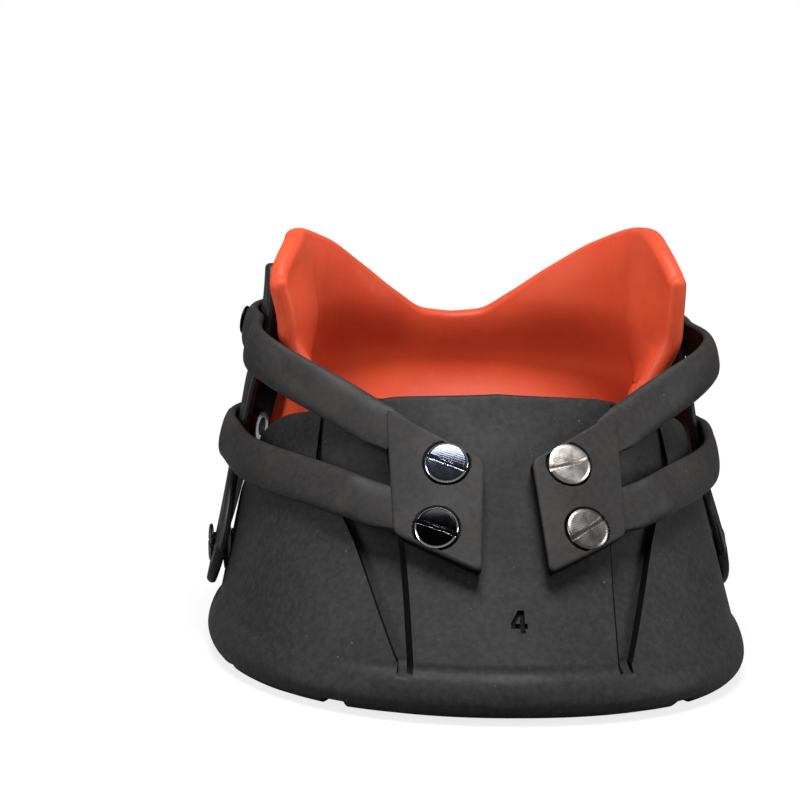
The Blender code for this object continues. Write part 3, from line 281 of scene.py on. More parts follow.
# Side pivots
PIVOT_Y = 0.0160
PIVOT_Z = 0.0225
FLAP_RADIUS = 0.0098
FLAP_TOP_Z = 0.0460
FLAP_REAR_RUN = 0.0140
FLAP_INNER = WRAP_SHELL_GAP / math.cos(SIDE_LEAN)
FLAP_OUTER = FLAP_INNER + WRAP_THICKNESS / math.cos(SIDE_LEAN)
PIVOT_HEAD = 0.0090
PIVOT_HEAD_HEIGHT = 0.0007
PIVOT_FACE_CROWN = 0.0002
PIVOT_SHANK = 0.0050
PIVOT_WASHER = 0.0130
WASHER_BREAKS = (0.0001, 0.0001)
PIVOT_NUT_FLANGE = 0.0100
PIVOT_NUT_SINK = 0.0015
PIVOT_NUT_SEAT = -WALL_THICKNESS / math.cos(SIDE_LEAN) + PIVOT_NUT_SINK
PIVOT_BARREL = 0.0070

# Strap studs on the wrap and their nuts
STUD_Y = 0.0380
STUD_HEIGHTS = {"upper": 0.0725, "lower": 0.0472}
STUD_HEAD = 0.0070
STUD_HEAD_HEIGHT = 0.0008
STUD_ROUND = 0.0006
STUD_SHOULDER = 0.0009
STUD_SHOULDER_TURN = 1.0
STUD_RIM_TURNS = (-0.2 * math.pi, 0.48 * math.pi)
STUD_FACE_SHARES = (0.75, 0.04)
STUD_FACE_CROWN = 0.00018
STUD_SHANK = 0.0040
STUD_NUT = 0.0085
STUD_NUT_THICKNESS = 0.0014
STUD_NUT_BREAKS = (0.0003, 0.0002)

# Mesh density
SHELL_COLUMNS = 660
COLUMN_SAMPLES = 4001
TOP_SAMPLES = 1441
SPREAD_STEPS = 80
FRONT_DENSITY = 2.2
FRONT_HALF_ANGLE = math.radians(75.0)
SLOT_HOLD_ANGLE = math.radians(100.0)
SLOT_EXTRA_COLUMNS = 26
SLOT_CLEARANCE_ANGLE = 0.004
SLOT_SETTLE_STEPS = 14
BEND_ROWS = 25
TREAD_RING_COUNTS = (9, 22, 10)
RIM_EDGE_RINGS = 11
FILLET_RINGS = 9
WALL_ROWS = 120
INNER_ROWS = 40
LIP_STEPS = 6
PLATE_OUTLINE_POINTS = 200
PLATE_BACK_RINGS = 12
PLATE_SIDE_RINGS = 7
PLATE_EDGE_RINGS = 7
PLATE_CENTRE_SHARE = 0.01
CORNER_STEPS = 8
PLATE_RINGS = 70
ARM_FINE_SPLITS = 16
ARM_FINE_SECTION = 20
ARM_EDGE_POINTS = 6
ARM_BACK_POINTS = 7
ARM_TIP_RINGS = 14
CUFF_FINE_COLUMNS = 200
CUFF_FINE_ROWS = 56
EDGE_FINE_STEPS = 9
END_COLUMNS = 7
TURNED_SEGMENTS = 64
HOLE_SEGMENTS = 48
HEAD_SEGMENTS = 72
HEAD_ROUND_RINGS = 5
HEAD_FACE_RINGS = 10
STUD_RIM_RINGS = 12
STUD_FACE_RINGS = 6

# Numerical steps
NORMAL_ANGLE_STEP = 1e-4
NORMAL_SHARE_STEP = 1e-4
NORMAL_HEIGHT_STEP = 1e-5
EDGE_TOLERANCE = 1e-9
WELD_DISTANCE = 1e-6
LEAST_SPACING = 1e-5
HALVINGS = 40
HOLE_WALK_SHARE = 0.001
SHARP_ANGLE = math.radians(32.0)
CUFF_SHARP_ANGLE = math.radians(60.0)
HEAD_SHARP_ANGLE = math.radians(40.0)


# Helpers on shares and lengths


def smooth_share(share):
    """Ease a share from nought to one with level ends."""
    share = min(max(share, 0.0), 1.0)
    return share * share * (3.0 - 2.0 * share)


def ease(share):
    """Eased share for arrays."""
    share = np.clip(share, 0.0, 1.0)
    return share * share * (3.0 - 2.0 * share)


def smooth_max(first, second, width):
    """Larger of two lengths, rounded over a width."""
    return 0.5 * (first + second + math.hypot(first - second, width))


def signed_power(value, power):
    """Power of the size of each value, with its sign kept."""
    return np.sign(value) * np.abs(value) ** power


def eased_table(places, values, place):
    """Monotone cubic through a table of places and values."""
    if place <= places[0]:
        return values[0]
    if place >= places[-1]:
        return values[-1]
    spans = [high - low for low, high in zip(places, places[1:])]
    slopes = [(high - low) / span for low, high, span in zip(values, values[1:], spans)]
    inner = [2.0 * a * b / (a + b) if a * b > 0.0 else 0.0 for a, b in zip(slopes, slopes[1:])]
    tangents = [slopes[0], *inner, slopes[-1]]
    index = max(i for i, start in enumerate(places[:-1]) if start <= place)
    share = (place - places[index]) / spans[index]
    leave = share * (1.0 - share) ** 2 * tangents[index]
    arrive = share * share * (share - 1.0) * tangents[index + 1]
    climb = (values[index + 1] - values[index]) * smooth_share(share)
    return values[index] + climb + (leave + arrive) * spans[index]


def halved(high, short):
    """Share between nought and a limit, up to which a test on shares holds."""
    low = 0.0
    for _ in range(HALVINGS):
        middle = 0.5 * (low + high)
        if short(middle):
            low = middle
        else:
            high = middle
    return 0.5 * (low + high)


def bezier(start, crest, end, share):
    """Place on a curve with one control point."""
    return (1.0 - share) ** 2 * start + 2.0 * share * (1.0 - share) * crest + share ** 2 * end


# Form of the shell's wall; angles run from the toe towards +X


def oval(angle, half_width, toe_y, heel_y, widest_y):
    """Plan places of a squarish oval."""
    power = 2.0 / OUTLINE_POWER
    cosine = np.cos(angle)
    end_y = np.where(cosine >= 0.0, toe_y, heel_y)
    y = widest_y + (end_y - widest_y) * np.abs(cosine) ** power
    return half_width * signed_power(np.sin(angle), power), y


def rim_line(angle, inset):
    """Plan places of the sole rim, drawn in by an inset."""
    half_length = 0.5 * RIM_LENGTH - inset
    return oval(angle, 0.5 * RIM_WIDTH - inset, -half_length, half_length, RIM_WIDEST_Y)


def wall_sizes(z):
    """Half width, toe, heel and widest place of the wall's outline at a height."""
    rise = z - RIM_HEIGHT
    half_width = 0.5 * RIM_WIDTH - RIM_SHOULDER - rise * math.tan(SIDE_LEAN)
    toe_y = -0.5 * RIM_LENGTH + RIM_SHOULDER + rise / math.tan(TOE_ANGLE)
    heel_y = 0.5 * RIM_LENGTH - RIM_SHOULDER + rise * math.tan(HEEL_LEAN)
    return half_width, toe_y, heel_y, RIM_WIDEST_Y + rise * math.tan(WIDEST_LEAN)


def wall_skin(angle, z):
    """Places of the wall's outer skin."""
    return np.stack([*oval(angle, *wall_sizes(z)), z], -1)


def wall_normal(angle, z):
    """Outward unit normals of the wall's outer skin."""
    along = wall_skin(angle + NORMAL_ANGLE_STEP, z) - wall_skin(angle - NORMAL_ANGLE_STEP, z)
    up = wall_skin(angle, z + NORMAL_HEIGHT_STEP) - wall_skin(angle, z - NORMAL_HEIGHT_STEP)
    normal = np.cross(along, up)
    return normal / np.linalg.norm(normal, axis=-1, keepdims=True)


def wall_out(angle, z, outward):
    """Places at a distance outward from the wall's outer skin."""
    return wall_skin(angle, z) + wall_normal(angle, z) * np.broadcast_to(outward, np.shape(angle))[..., None]


def wall_angle(x, z):
    """Angles on the front of the wall whose skin has a given X."""
    return np.arcsin(signed_power(x / wall_sizes(z)[0], 0.5 * OUTLINE_POWER))


def wall_half_width(y, z):
    """Half width of the wall's outline at a place along the boot."""
    half_width, toe_y, heel_y, widest_y = wall_sizes(z)
    reach = widest_y - toe_y if y < widest_y else heel_y - widest_y
    share = min(abs(y - widest_y) / reach, 1.0)
    return half_width * (1.0 - share ** OUTLINE_POWER) ** (1.0 / OUTLINE_POWER)


def axis_matrix(point, normal):
    """Placement whose Z runs along a normal, with X kept level."""
    level = Vector((0.0, 0.0, 1.0)).cross(normal).normalized()
    turn = Matrix((level, normal.cross(level), normal)).transposed().to_4x4()
    return Matrix.Translation(point) @ turn


def plate_corners(inset=0.0):
    """Corners of a strap plate as X and height pairs, clockwise from the inner top."""
    return (
        (PLATE_INNER_TOP_X + inset, PLATE_TOP_Z - inset),
        (PLATE_OUTER_X - inset, PLATE_TOP_Z + PLATE_TOP_RISE - inset),
        (PLATE_OUTER_X - inset, PLATE_BOTTOM_Z + PLATE_BOTTOM_RISE + inset),
        (PLATE_INNER_BOTTOM_X + inset, PLATE_BOTTOM_Z + inset),
    )


def screw_places(side):
    """Placements of one plate's two screws on the wall's skin, by level."""
    places = {}
    for level, (x, z) in SCREW_SPOTS.items():
        angle = side * wall_angle(x, z)
        places[level] = axis_matrix(Vector(wall_skin(angle, z)), Vector(wall_normal(angle, z)))
    return places


def pivot_place(side):
    """Placement on the wall's skin whose Z runs out along the hinge axis."""
    point = Vector((side * wall_half_width(PIVOT_Y, PIVOT_Z), PIVOT_Y, PIVOT_Z))
    return axis_matrix(point, Vector((side, 0.0, 0.0)))


# Form of the cuff; shares run from the left front edge round the heel to the right


def outward_normal(skin, share, z, step_up):
    """Unit normal of a cuff sheet by central differences, turned away from its middle."""
    point = skin(share, z)
    across = skin(share + NORMAL_SHARE_STEP, z) - skin(share - NORMAL_SHARE_STEP, z)
    normal = across.cross(skin(share, z + step_up) - skin(share, z - step_up)).normalized()
    inward = normal.dot(Vector((point.x, point.y - CUFF_WIDEST_Y, 0.0))) < 0.0
    return point, -normal if inward else normal


def cuff_plan(share, half_width, rear_y, front_y, flare):
    """Plan point of the U-shaped cuff."""
    side, size = math.copysign(1.0, share), abs(share)
    if size <= CUFF_SIDE_SHARE:
        turn = QUARTER * size / CUFF_SIDE_SHARE
        power = 2.0 / OUTLINE_POWER
        y = CUFF_WIDEST_Y + (rear_y - CUFF_WIDEST_Y) * max(math.cos(turn), 0.0) ** power
        return side * half_width * math.sin(turn) ** power, y
    run = (size - CUFF_SIDE_SHARE) / (1.0 - CUFF_SIDE_SHARE)
    return side * (half_width + flare * run * run), CUFF_WIDEST_Y + (front_y - CUFF_WIDEST_Y) * run


def liner_room(y, z):
    """Half width that the shell leaves to the middle of the liner."""
    return (
        wall_half_width(y, min(z, LOBE_TOP)) - WALL_THICKNESS / math.cos(SIDE_LEAN)
        - LINER_SHELL_GAP - 0.5 * LINER_THICKNESS
    )


def liner_skin(share, z):
    """Middle of the liner's thickness, as a plain sheet."""
    bowl = smooth_share((LINER_BOWL_Z - z) / (LINER_BOWL_Z - LINER_BOTTOM_Z))
    half_width = LINER_HALF_WIDTH + max(LINER_BOWL_Z - z, 0.0) * math.tan(SIDE_LEAN)
    up = smooth_share((z - LINER_DIP_Z) / (LINER_PEAK_Z - LINER_DIP_Z))
    flare = LINER_FLARE + (LINER_TOP_FLARE - LINER_FLARE) * up
    x, y = cuff_plan(share, half_width, LINER_REAR_Y - LINER_BOWL_REACH * bowl, LINER_FRONT_Y, flare)
    above = smooth_share((z - LOBE_TOP - LINER_LIP_GAP) / LINER_FREE_RISE)
    if y < CUFF_WIDEST_Y + BLEND_LENGTH:
        x = math.copysign(min(abs(x), liner_room(y, z) + above * LINER_WING_ROOM), x)
    return Vector((x, y, z))


def look_skin(share, z):
    """The liner's middle, opening softly above the shell, its free tops leaning to one side."""
    point = liner_skin(share, z)
    soft = LOOK_SOFT * smooth_share((z - LOBE_TOP + LOOK_SOFT_RUN) / LOOK_SOFT_RUN)
    if soft > 0.0 and point.y < CUFF_WIDEST_Y + BLEND_LENGTH:
        opened = smooth_share((z - LOBE_TOP - LINER_LIP_GAP) / LOOK_FREE_RISE) * LINER_WING_ROOM
        fade = smooth_share((CUFF_WIDEST_Y + BLEND_LENGTH - point.y) / LOOK_BLEND)
        wide = abs(point.x)
        inner = -smooth_max(-wide, -(liner_room(point.y, z) + opened), soft)
        point.x = math.copysign(wide + (inner - wide) * fade, point.x)
    run = smooth_share((abs(share) - WING_START_SHARE) / (1.0 - WING_START_SHARE))
    free = run * smooth_share((z - WING_FREE_Z) / WING_FREE_RISE)
    lean = free if share < 0.0 else run * smooth_share((z - LOBE_TOP) / WING_FREE_RISE)
    point.x += math.copysign(WING_OPEN, share) * free - WING_LEAN * lean
    return point


def look_top(share):
    """Height of the liner's rim: dip at the heel, peaks at the sides, rounded front corners."""
    size = abs(share)
    heights = [LINER_DIP_Z + (LINER_PEAK_Z - LINER_DIP_Z) * rise for rise in LINER_TOP_RISES]
    top = eased_table(LINER_TOP_PLACES, heights + [LINER_CORNER_Z], size)
    if size > CORNER_START_SHARE:
        run = (size - CORNER_START_SHARE) / (1.0 - CORNER_START_SHARE)
        top = LINER_PEAK_Z - (LINER_PEAK_Z - LINER_CORNER_Z) * run ** CORNER_POWER
    if share < 0.0:
        top -= LEFT_PEAK_DROP * smooth_share((size - LEFT_PEAK_START) / LEFT_PEAK_START)
    return top


def liner_bottom(share):
    """Height of the liner's lower edge, higher where the wings reach forward."""
    climb = smooth_share((abs(share) - CUFF_SIDE_SHARE) / (1.0 - CUFF_SIDE_SHARE))
    return LINER_BOTTOM_Z + (LINER_FRONT_BOTTOM_Z - LINER_BOTTOM_Z) * climb


def liner_pad(share, z, bottom, top):
    """Padding on the inner face: it swells below the rim, and is undercut above the bowl."""
    fill = PAD_FULL * (1.0 - math.exp(-max(top - z, 0.0) / PAD_FADE))
    fill *= 1.0 - UNDERCUT_SHARE * smooth_share((UNDERCUT_Z - z) / UNDERCUT_RUN)
    ends = PAD_EDGE_SHARE + (1.0 - PAD_EDGE_SHARE) * smooth_share((1.0 - abs(share)) / PAD_END_SHARE)
    return fill * ends * smooth_share((z - bottom) / PAD_FOOT)


def no_pad(share, z, bottom, top):
    """The wrap has no padding."""
    return 0.0


def wrap_bottom(y):
    """Lower edge of the wrap: round the pivot at the flap, level at the heel."""
    reach = abs(y - PIVOT_Y)
    flap = PIVOT_Z - math.sqrt(max(FLAP_RADIUS ** 2 - reach ** 2, 0.0))
    rise = (y - PIVOT_Y - FLAP_RADIUS) / FLAP_REAR_RUN
    return flap + (WRAP_BOTTOM_Z - PIVOT_Z) * smooth_share(rise)


def wrap_skin(share, z):
    """Middle of the wrap's thickness; its flap comes forward round the pivot, close to the wall."""
    ear = smooth_share((z - LOBE_TOP) / (WRAP_WAIST_Z - LOBE_TOP))
    room = WRAP_SIDE_ROOM + (WRAP_EAR_ROOM - WRAP_SIDE_ROOM) * ear
    half_width = LINER_HALF_WIDTH + 0.5 * LINER_THICKNESS + room + 0.5 * WRAP_THICKNESS
    rear_y = LINER_REAR_Y + 0.5 * LINER_THICKNESS + WRAP_LINER_GAP + 0.5 * WRAP_THICKNESS
    low = PIVOT_Y - FLAP_RADIUS
    front_y = low + (WRAP_FRONT_Y - low) * smooth_share((z - PIVOT_Z) / (FLAP_TOP_Z - PIVOT_Z))
    x, y = cuff_plan(share, half_width, rear_y, front_y, 0.0)
    wall = wall_half_width(y, z) + (WRAP_SHELL_GAP + 0.5 * WRAP_THICKNESS) / math.cos(SIDE_LEAN)
    side_share = smooth_share((abs(share) - WRAP_REAR_SHARE) / (CUFF_SIDE_SHARE - WRAP_REAR_SHARE))
    seat = 0.5 * PIVOT_WASHER
    above = (z - PIVOT_Z - seat) / (WRAP_BOTTOM_Z - PIVOT_Z - seat)
    behind = (y - PIVOT_Y - seat) / (FLAP_RADIUS - seat)
    pushed = wall + (smooth_max(abs(x), wall, BLEND_LENGTH) - wall) * smooth_share(max(above, behind))
    return Vector((math.copysign(abs(x) + (pushed - abs(x)) * side_share, share), y, z))


def wrap_top(share):
    """Height of the wrap's rim, a little below the liner's."""
    heights = [WRAP_DIP_Z + (WRAP_EAR_Z - WRAP_DIP_Z) * rise for rise in WRAP_TOP_RISES]
    return eased_table(WRAP_TOP_PLACES, heights, abs(share))


def wrap_low(share):
    """Height of the wrap's lower edge at one column."""
    return wrap_bottom(wrap_skin(share, PIVOT_Z).y)


def wrap_share_at(y, z):
    """Share along the wrap whose side lies at a given Y."""
    return halved(1.0, lambda share: wrap_skin(share, z).y > y)


def wrap_frame(side, share, z):
    """Point and outward normal on the middle of the wrap, smoothed over a strap's width."""
    return outward_normal(wrap_skin, side * share, z, 0.5 * ARM_WIDTH)


def stud_places(side):
    """Placements of one side's studs on the middle of the wrap, by level."""
    return {
        level: axis_matrix(*wrap_frame(side, wrap_share_at(STUD_Y, z), z))
        for level, z in STUD_HEIGHTS.items()
    }


def hole_places(side, z):
    """Placements of a strap's holes: the first on the stud, the rest towards the heel."""
    share = wrap_share_at(STUD_Y, z)
    places = []
    for _ in range(HOLE_COUNT):
        point, normal = wrap_frame(side, share, z)
        places.append(axis_matrix(point, normal))
        walked = 0.0
        while walked < HOLE_PITCH:
            share -= HOLE_WALK_SHARE
            following = wrap_frame(side, share, z)[0]
            walked += (following - point).length
            point = following
    return places


def arm_carry(side, z):
    """Back-face point and normal where an arm rides past the liner's front wing."""
    wing = abs(liner_skin(side, z).x) + 0.5 * LINER_THICKNESS + LINER_STRAP_GAP
    wall = wall_half_width(ARM_CARRY_Y, z) + (PLATE_INNER + ARM_STAND_OFF) / math.cos(SIDE_LEAN)
    turn = ARM_CARRY_TURN if wing > wall else 0.0
    normal = Vector((side * math.cos(turn), -math.sin(turn), math.tan(SIDE_LEAN))).normalized()
    return Vector((side * max(wing, wall), ARM_CARRY_Y, z)), normal


def arm_stations(side, level):
    """Back-face points and normals of one arm, from the plate round to the heel."""
    (plate_z, side_z), heel_z = ARM_HEIGHTS[level], STUD_HEIGHTS[level]
    start = wall_angle(PLATE_OUTER_X - ARM_PLATE_OVERLAP, plate_z)
    stations = []
    for share in ARM_WALL_SHARES:
        angle = side * (start + (ARM_SIDE_ANGLE - start) * share)
        z = plate_z + (side_z - plate_z) * share
        outward = PLATE_INNER + ARM_LIFT_STEP + ARM_STAND_OFF * share
        stations.append((Vector(wall_out(angle, z, outward)), Vector(wall_normal(angle, z))))
    stations.append(arm_carry(side, heel_z - ARM_CARRY_DROP))
    end = halved(CUFF_SIDE_SHARE, lambda share: (
        wrap_skin(share, heel_z).x < STRAP_END_X or wrap_top(share) < heel_z + 0.5 * ARM_WIDTH
    ))
    for share in (1.0, *np.linspace(CUFF_SIDE_SHARE, end, ARM_BED_STEPS + 1)):
        point, normal = wrap_frame(side, share, heel_z)
        stations.append((point + normal * STRAP_BED, normal))
    for drop, (point, _) in zip(ARM_START_DROPS, stations):
        point.z -= drop
    return stations


def fine_route(stations):
    """Places, headings and normals closely sampled on the smooth curve through stations."""
    points = [point for point, _ in stations]
    last = len(points) - 1
    headings = [(points[min(i + 1, last)] - points[max(i - 1, 0)]).normalized() for i in range(last + 1)]
    frames = []
    for index in range(last):
        start, end = points[index], points[index + 1]
        length = (end - start).length
        leave, arrive = headings[index] * length, headings[index + 1] * length
        for step in range(ARM_FINE_SPLITS + (index == last - 1)):
            share = step / ARM_FINE_SPLITS
            rest = share - 1.0
            point = start.lerp(end, smooth_share(share))
            point += leave * (share * rest * rest) + arrive * (share * share * rest)
            heading = (end - start) * (-6.0 * share * rest) + leave * (rest * (3.0 * share - 1.0))
            heading = (heading + arrive * (share * (3.0 * share - 2.0))).normalized()
            normal = stations[index][1].lerp(stations[index + 1][1], smooth_share(share))
            frames.append((point, heading, (normal - heading * normal.dot(heading)).normalized()))
    return frames


# Mesh helpers


def new_object(name, data):
    """Linked object over some data."""
    item = bpy.data.objects.new(name, data)
    bpy.context.scene.collection.objects.link(item)
    return item


def link_mesh(name, mesh, material, sharp_angle=SHARP_ANGLE):
    """Linked object from a mesh, smooth-shaded but for its sharp edges."""
    mesh.shade_smooth()
    mesh.set_sharp_from_angle(angle=sharp_angle)
    mesh.materials.append(material)
    return new_object(name, mesh)


def drawn_mesh(name, edit):
    """Mesh from an edited one, which is let go."""
    mesh = bpy.data.meshes.new(name)
    edit.to_mesh(mesh)
    edit.free()
    return mesh


def grid_mesh(name, rings, start_centre=None, end_centre=None):
    """Mesh over an array of closed rings, with fans to its centres or flat ends."""
    rows, count, _ = rings.shape
    points = [tuple(point) for point in rings.reshape(-1, 3)]
    ring = np.arange(count)
    following = np.roll(ring, -1)
    faces = []
    for low in range(0, (rows - 1) * count, count):
        high = low + count
        faces += np.stack([low + ring, low + following, high + following, high + ring], 1).tolist()
    for centre, base in ((start_centre, 0), (end_centre, (rows - 1) * count)):
        if centre is None:
            faces.append((base + ring).tolist())
            continue
        middle = len(points)
        points.append(centre)
        faces += [[base + int(i), base + int(j), middle] for i, j in zip(ring, following)]
    mesh = bpy.data.meshes.new(name)
    mesh.from_pydata(points, [], faces)
    edit = bmesh.new()
    edit.from_mesh(mesh)
    bmesh.ops.recalc_face_normals(edit, faces=edit.faces)
    if edit.calc_volume(signed=True) < 0.0:
        bmesh.ops.reverse_faces(edit, faces=edit.faces)
    edit.to_mesh(mesh)
    edit.free()
    return mesh


def apply_modifiers(item):
    """Give an object the mesh that its modifiers make."""
    graph = bpy.context.evaluated_depsgraph_get()
    result = bpy.data.meshes.new_from_object(item.evaluated_get(graph))
    item.modifiers.clear()
    item.data = result


def cut(target, cutter):
    """Cut one piece out of another and drop the cutter."""
    modifier = target.modifiers.new("cut", "BOOLEAN")
    modifier.operation = "DIFFERENCE"
    modifier.solver = "EXACT"
    modifier.object = cutter
    apply_modifiers(target)
    bpy.data.objects.remove(cutter, do_unlink=True)


def turned(name, profile, place, material, segments=TURNED_SEGMENTS):
    """Turned piece from radius and height pairs, at a placement."""
    angles = np.linspace(0.0, TURN, segments, endpoint=False)
    rings = np.array([
        np.stack([radius * np.cos(angles), radius * np.sin(angles), np.full(segments, height)], 1)
        for radius, height in profile
    ])
    item = link_mesh(name, grid_mesh(name, rings), material)
    item.matrix_world = place
    bpy.context.view_layer.update()
    return item


def cut_round(target, place, width, start, end):
    """Round hole with a fit's clearance in a piece, along a placement's Z."""
    radius = 0.5 * width + FIT_GAP
    cut(target, turned("cutter", ((radius, start), (radius, end)), place, dark_gap, HOLE_SEGMENTS))


def settle(item):
    """Weld a cut piece and shade it again."""
    edit = bmesh.new()
    edit.from_mesh(item.data)
    bmesh.ops.remove_doubles(edit, verts=edit.verts, dist=WELD_DISTANCE)
    bmesh.ops.dissolve_degenerate(edit, edges=edit.edges, dist=WELD_DISTANCE)
    edit.to_mesh(item.data)
    edit.free()
    item.data.shade_smooth()
    item.data.set_sharp_from_angle(angle=SHARP_ANGLE)
    return item


def bake_in(item):
    """Write an object's placement into its mesh."""
    bpy.context.view_layer.update()
    item.data.transform(item.matrix_world)
    item.matrix_world = Matrix.Identity(4)
    return item


def bored(name, profile, place, bore, material):
    """Turned piece with a clearance hole for a shank all through it."""
    piece = turned(name, profile, place, material)
    cut_round(piece, place, bore, profile[0][1] - OVERRUN, profile[-1][1] + OVERRUN)
    return bake_in(settle(piece))


def hand_over(piece, node):
    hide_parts(node)
    return piece


# Materials; noise settings are cells per metre, detail and roughness

CLOUD_SPAN = (0.3, 0.7)
RUBBER_CLOUD = (90.0, 4.0, 0.6)
RUBBER_CLOUD_SPREAD = (-0.07, 0.08)
RUBBER_PATCHES = (38.0, 5.0, 0.65)
RUBBER_PATCH_SPAN = (0.52, 0.78)
RUBBER_GRAIN = (700.0, 3.0, 0.5)
RUBBER_GRAIN_RAMP = (0.35, 0.75, 0.0, 0.10)
RUBBER_SPECKS = ((330.0, 0.10, 0.16, 0.65), (800.0, 0.16, 0.10, 0.45))
RUBBER_BUMPS = (((1500.0, 3.0, 0.6), 0.00006, 0.35), ((160.0, 2.0, 0.5), 0.00025, 0.30))
LINER_COLOUR = (0.72, 0.088, 0.032)
LINER_DEEP = (0.56, 0.052, 0.020)
LINER_PALE = (0.76, 0.12, 0.050)
LINER_DARK = (0.35, 0.03, 0.015)
LINER_CLOUD = (45.0, 4.0, 0.55)
LINER_DEEP_RAMP = (0.55, 0.35, 0.0, 0.45)
LINER_SHEEN = (0.40, 0.55)
LINER_GRAIN = (600.0, 3.0, 0.5)
LINER_GRAIN_RAMP = (0.55, 0.8, 0.0, 0.35)
LINER_SPECKS = (420.0, 0.09, 0.12, 0.5)
LINER_BUMPS = (((1300.0, 3.0, 0.6), 0.00005, 0.30), ((120.0, 2.0, 0.5), 0.0004, 0.30))
LINER_ROUGHNESS = 0.50
LINER_SPECULAR = 0.22
LINER_SCATTER = 0.12
LINER_SCATTER_REACH = (0.0022, 0.0006, 0.0003)
TURNING_SCALE = 900.0
TURNING_WAVER = 2.0
TURNING_HEIGHT = 0.00002
SCRATCHES = (700.0, 4.0, 0.6)
SCRATCH_HEIGHT = 0.00003
STEEL_CLOUD = (350.0, 4.0, 0.6)
STEEL_SPREAD = (0.7, 1.4)
GRIME = (420.0, 5.0, 0.7)
GRIME_RAMP = (0.56, 0.72, 0.0, 0.45)
GRIME_SHADE = 0.45
SPECK_CORE = 0.4
SPECK_EDGE = 0.02
SPECK_LEAST = 0.25


def new_surface(name, colour, roughness, metallic=0.0, specular=0.5):
    """Principled material with its plain values set on the shader."""
    material = bpy.data.materials.new(name)
    material.use_nodes = True
    shader = material.node_tree.nodes["Principled BSDF"]
    shader.inputs["Base Color"].default_value = (*colour, 1.0)
    shader.inputs["Roughness"].default_value = roughness
    shader.inputs["Metallic"].default_value = metallic
    shader.inputs["Specular IOR Level"].default_value = specular
    return material, material.node_tree, shader


def over_object(tree, kind, settings):
    """Texture node over the object's own coordinates, with its plain settings."""
    node = tree.nodes.new(kind)
    for socket, value in settings.items():
        node.inputs[socket].default_value = value
    place = tree.nodes.new("ShaderNodeTexCoord").outputs["Object"]
    tree.links.new(place, node.inputs["Vector"])
    return node


def noise(tree, scale, detail, roughness):
    """Noise over the object, in cells per metre."""
    settings = {"Scale": scale, "Detail": detail, "Roughness": roughness}
    return over_object(tree, "ShaderNodeTexNoise", settings).outputs["Fac"]


def ramp(tree, value, low, high, start=0.0, end=1.0):
    """Value mapped from one range to another and held inside it."""
    node = tree.nodes.new("ShaderNodeMapRange")
    for socket, limit in (("From Min", low), ("From Max", high), ("To Min", start), ("To Max", end)):
        node.inputs[socket].default_value = limit
    tree.links.new(value, node.inputs["Value"])
    return node.outputs["Result"]


def multiply(tree, first, second):
    """Product of two values; the second may be a plain number."""
    node = tree.nodes.new("ShaderNodeMath")
    node.operation = "MULTIPLY"
    tree.links.new(first, node.inputs[0])
    if isinstance(second, float):
        node.inputs[1].default_value = second
    else:
        tree.links.new(second, node.inputs[1])
    return node.outputs["Value"]


def mixed(tree, factor, first, second):
    """Colour mixed from two colours; the first may be another node's."""
    node = tree.nodes.new("ShaderNodeMix")
    node.data_type = "RGBA"
    tree.links.new(factor, node.inputs["Factor"])
    for socket, value in (("A", first), ("B", second)):
        place = next(item for item in node.inputs if item.name == socket and item.type == "RGBA")
        if isinstance(value, tuple):
            place.default_value = (*value, 1.0)
        else:
            tree.links.new(value, place)
    return next(item for item in node.outputs if item.type == "RGBA")


def specks(tree, scale, size, share, strength):
    """Sparse round specks: a few cells of a Voronoi, near their points."""
    node = over_object(tree, "ShaderNodeTexVoronoi", {"Scale": scale})
    split = tree.nodes.new("ShaderNodeSeparateColor")
    tree.links.new(node.outputs["Color"], split.inputs["Color"])
    near = ramp(tree, node.outputs["Distance"], size, SPECK_CORE * size)
    kept = ramp(tree, split.outputs["Red"], share, share - SPECK_EDGE)
    varied = ramp(tree, split.outputs["Green"], 0.0, 1.0, SPECK_LEAST, 1.0)
    return multiply(tree, multiply(tree, multiply(tree, near, kept), varied), strength)


def bump(tree, shader, height, distance, strength):
    """Bump on the shader's normal, over the bumps that it has."""
    node = tree.nodes.new("ShaderNodeBump")
    node.inputs["Strength"].default_value = strength
    node.inputs["Distance"].default_value = distance
    tree.links.new(height, node.inputs["Height"])
    for link in shader.inputs["Normal"].links:
        tree.links.new(link.from_socket, node.inputs["Normal"])
    tree.links.new(node.outputs["Normal"], shader.inputs["Normal"])


def rubber(name, colour, dust, roughness, smudge, specular):
    """Moulded rubber: fine grain, cloudy sheen, dust specks and smudges."""
    material, tree, shader = new_surface(name, colour, roughness, specular=specular)
    sheen = [roughness + spread for spread in RUBBER_CLOUD_SPREAD]
    cloud = ramp(tree, noise(tree, *RUBBER_CLOUD), *CLOUD_SPAN, *sheen)
    tree.links.new(cloud, shader.inputs["Roughness"])
    patches = ramp(tree, noise(tree, *RUBBER_PATCHES), *RUBBER_PATCH_SPAN, 0.0, smudge)
    base = mixed(tree, patches, colour, dust)
    base = mixed(tree, ramp(tree, noise(tree, *RUBBER_GRAIN), *RUBBER_GRAIN_RAMP), base, dust)
    for dots in RUBBER_SPECKS:
        base = mixed(tree, specks(tree, *dots), base, dust)
    tree.links.new(base, shader.inputs["Base Color"])
    for grain, distance, strength in RUBBER_BUMPS:
        bump(tree, shader, noise(tree, *grain), distance, strength)
    return material


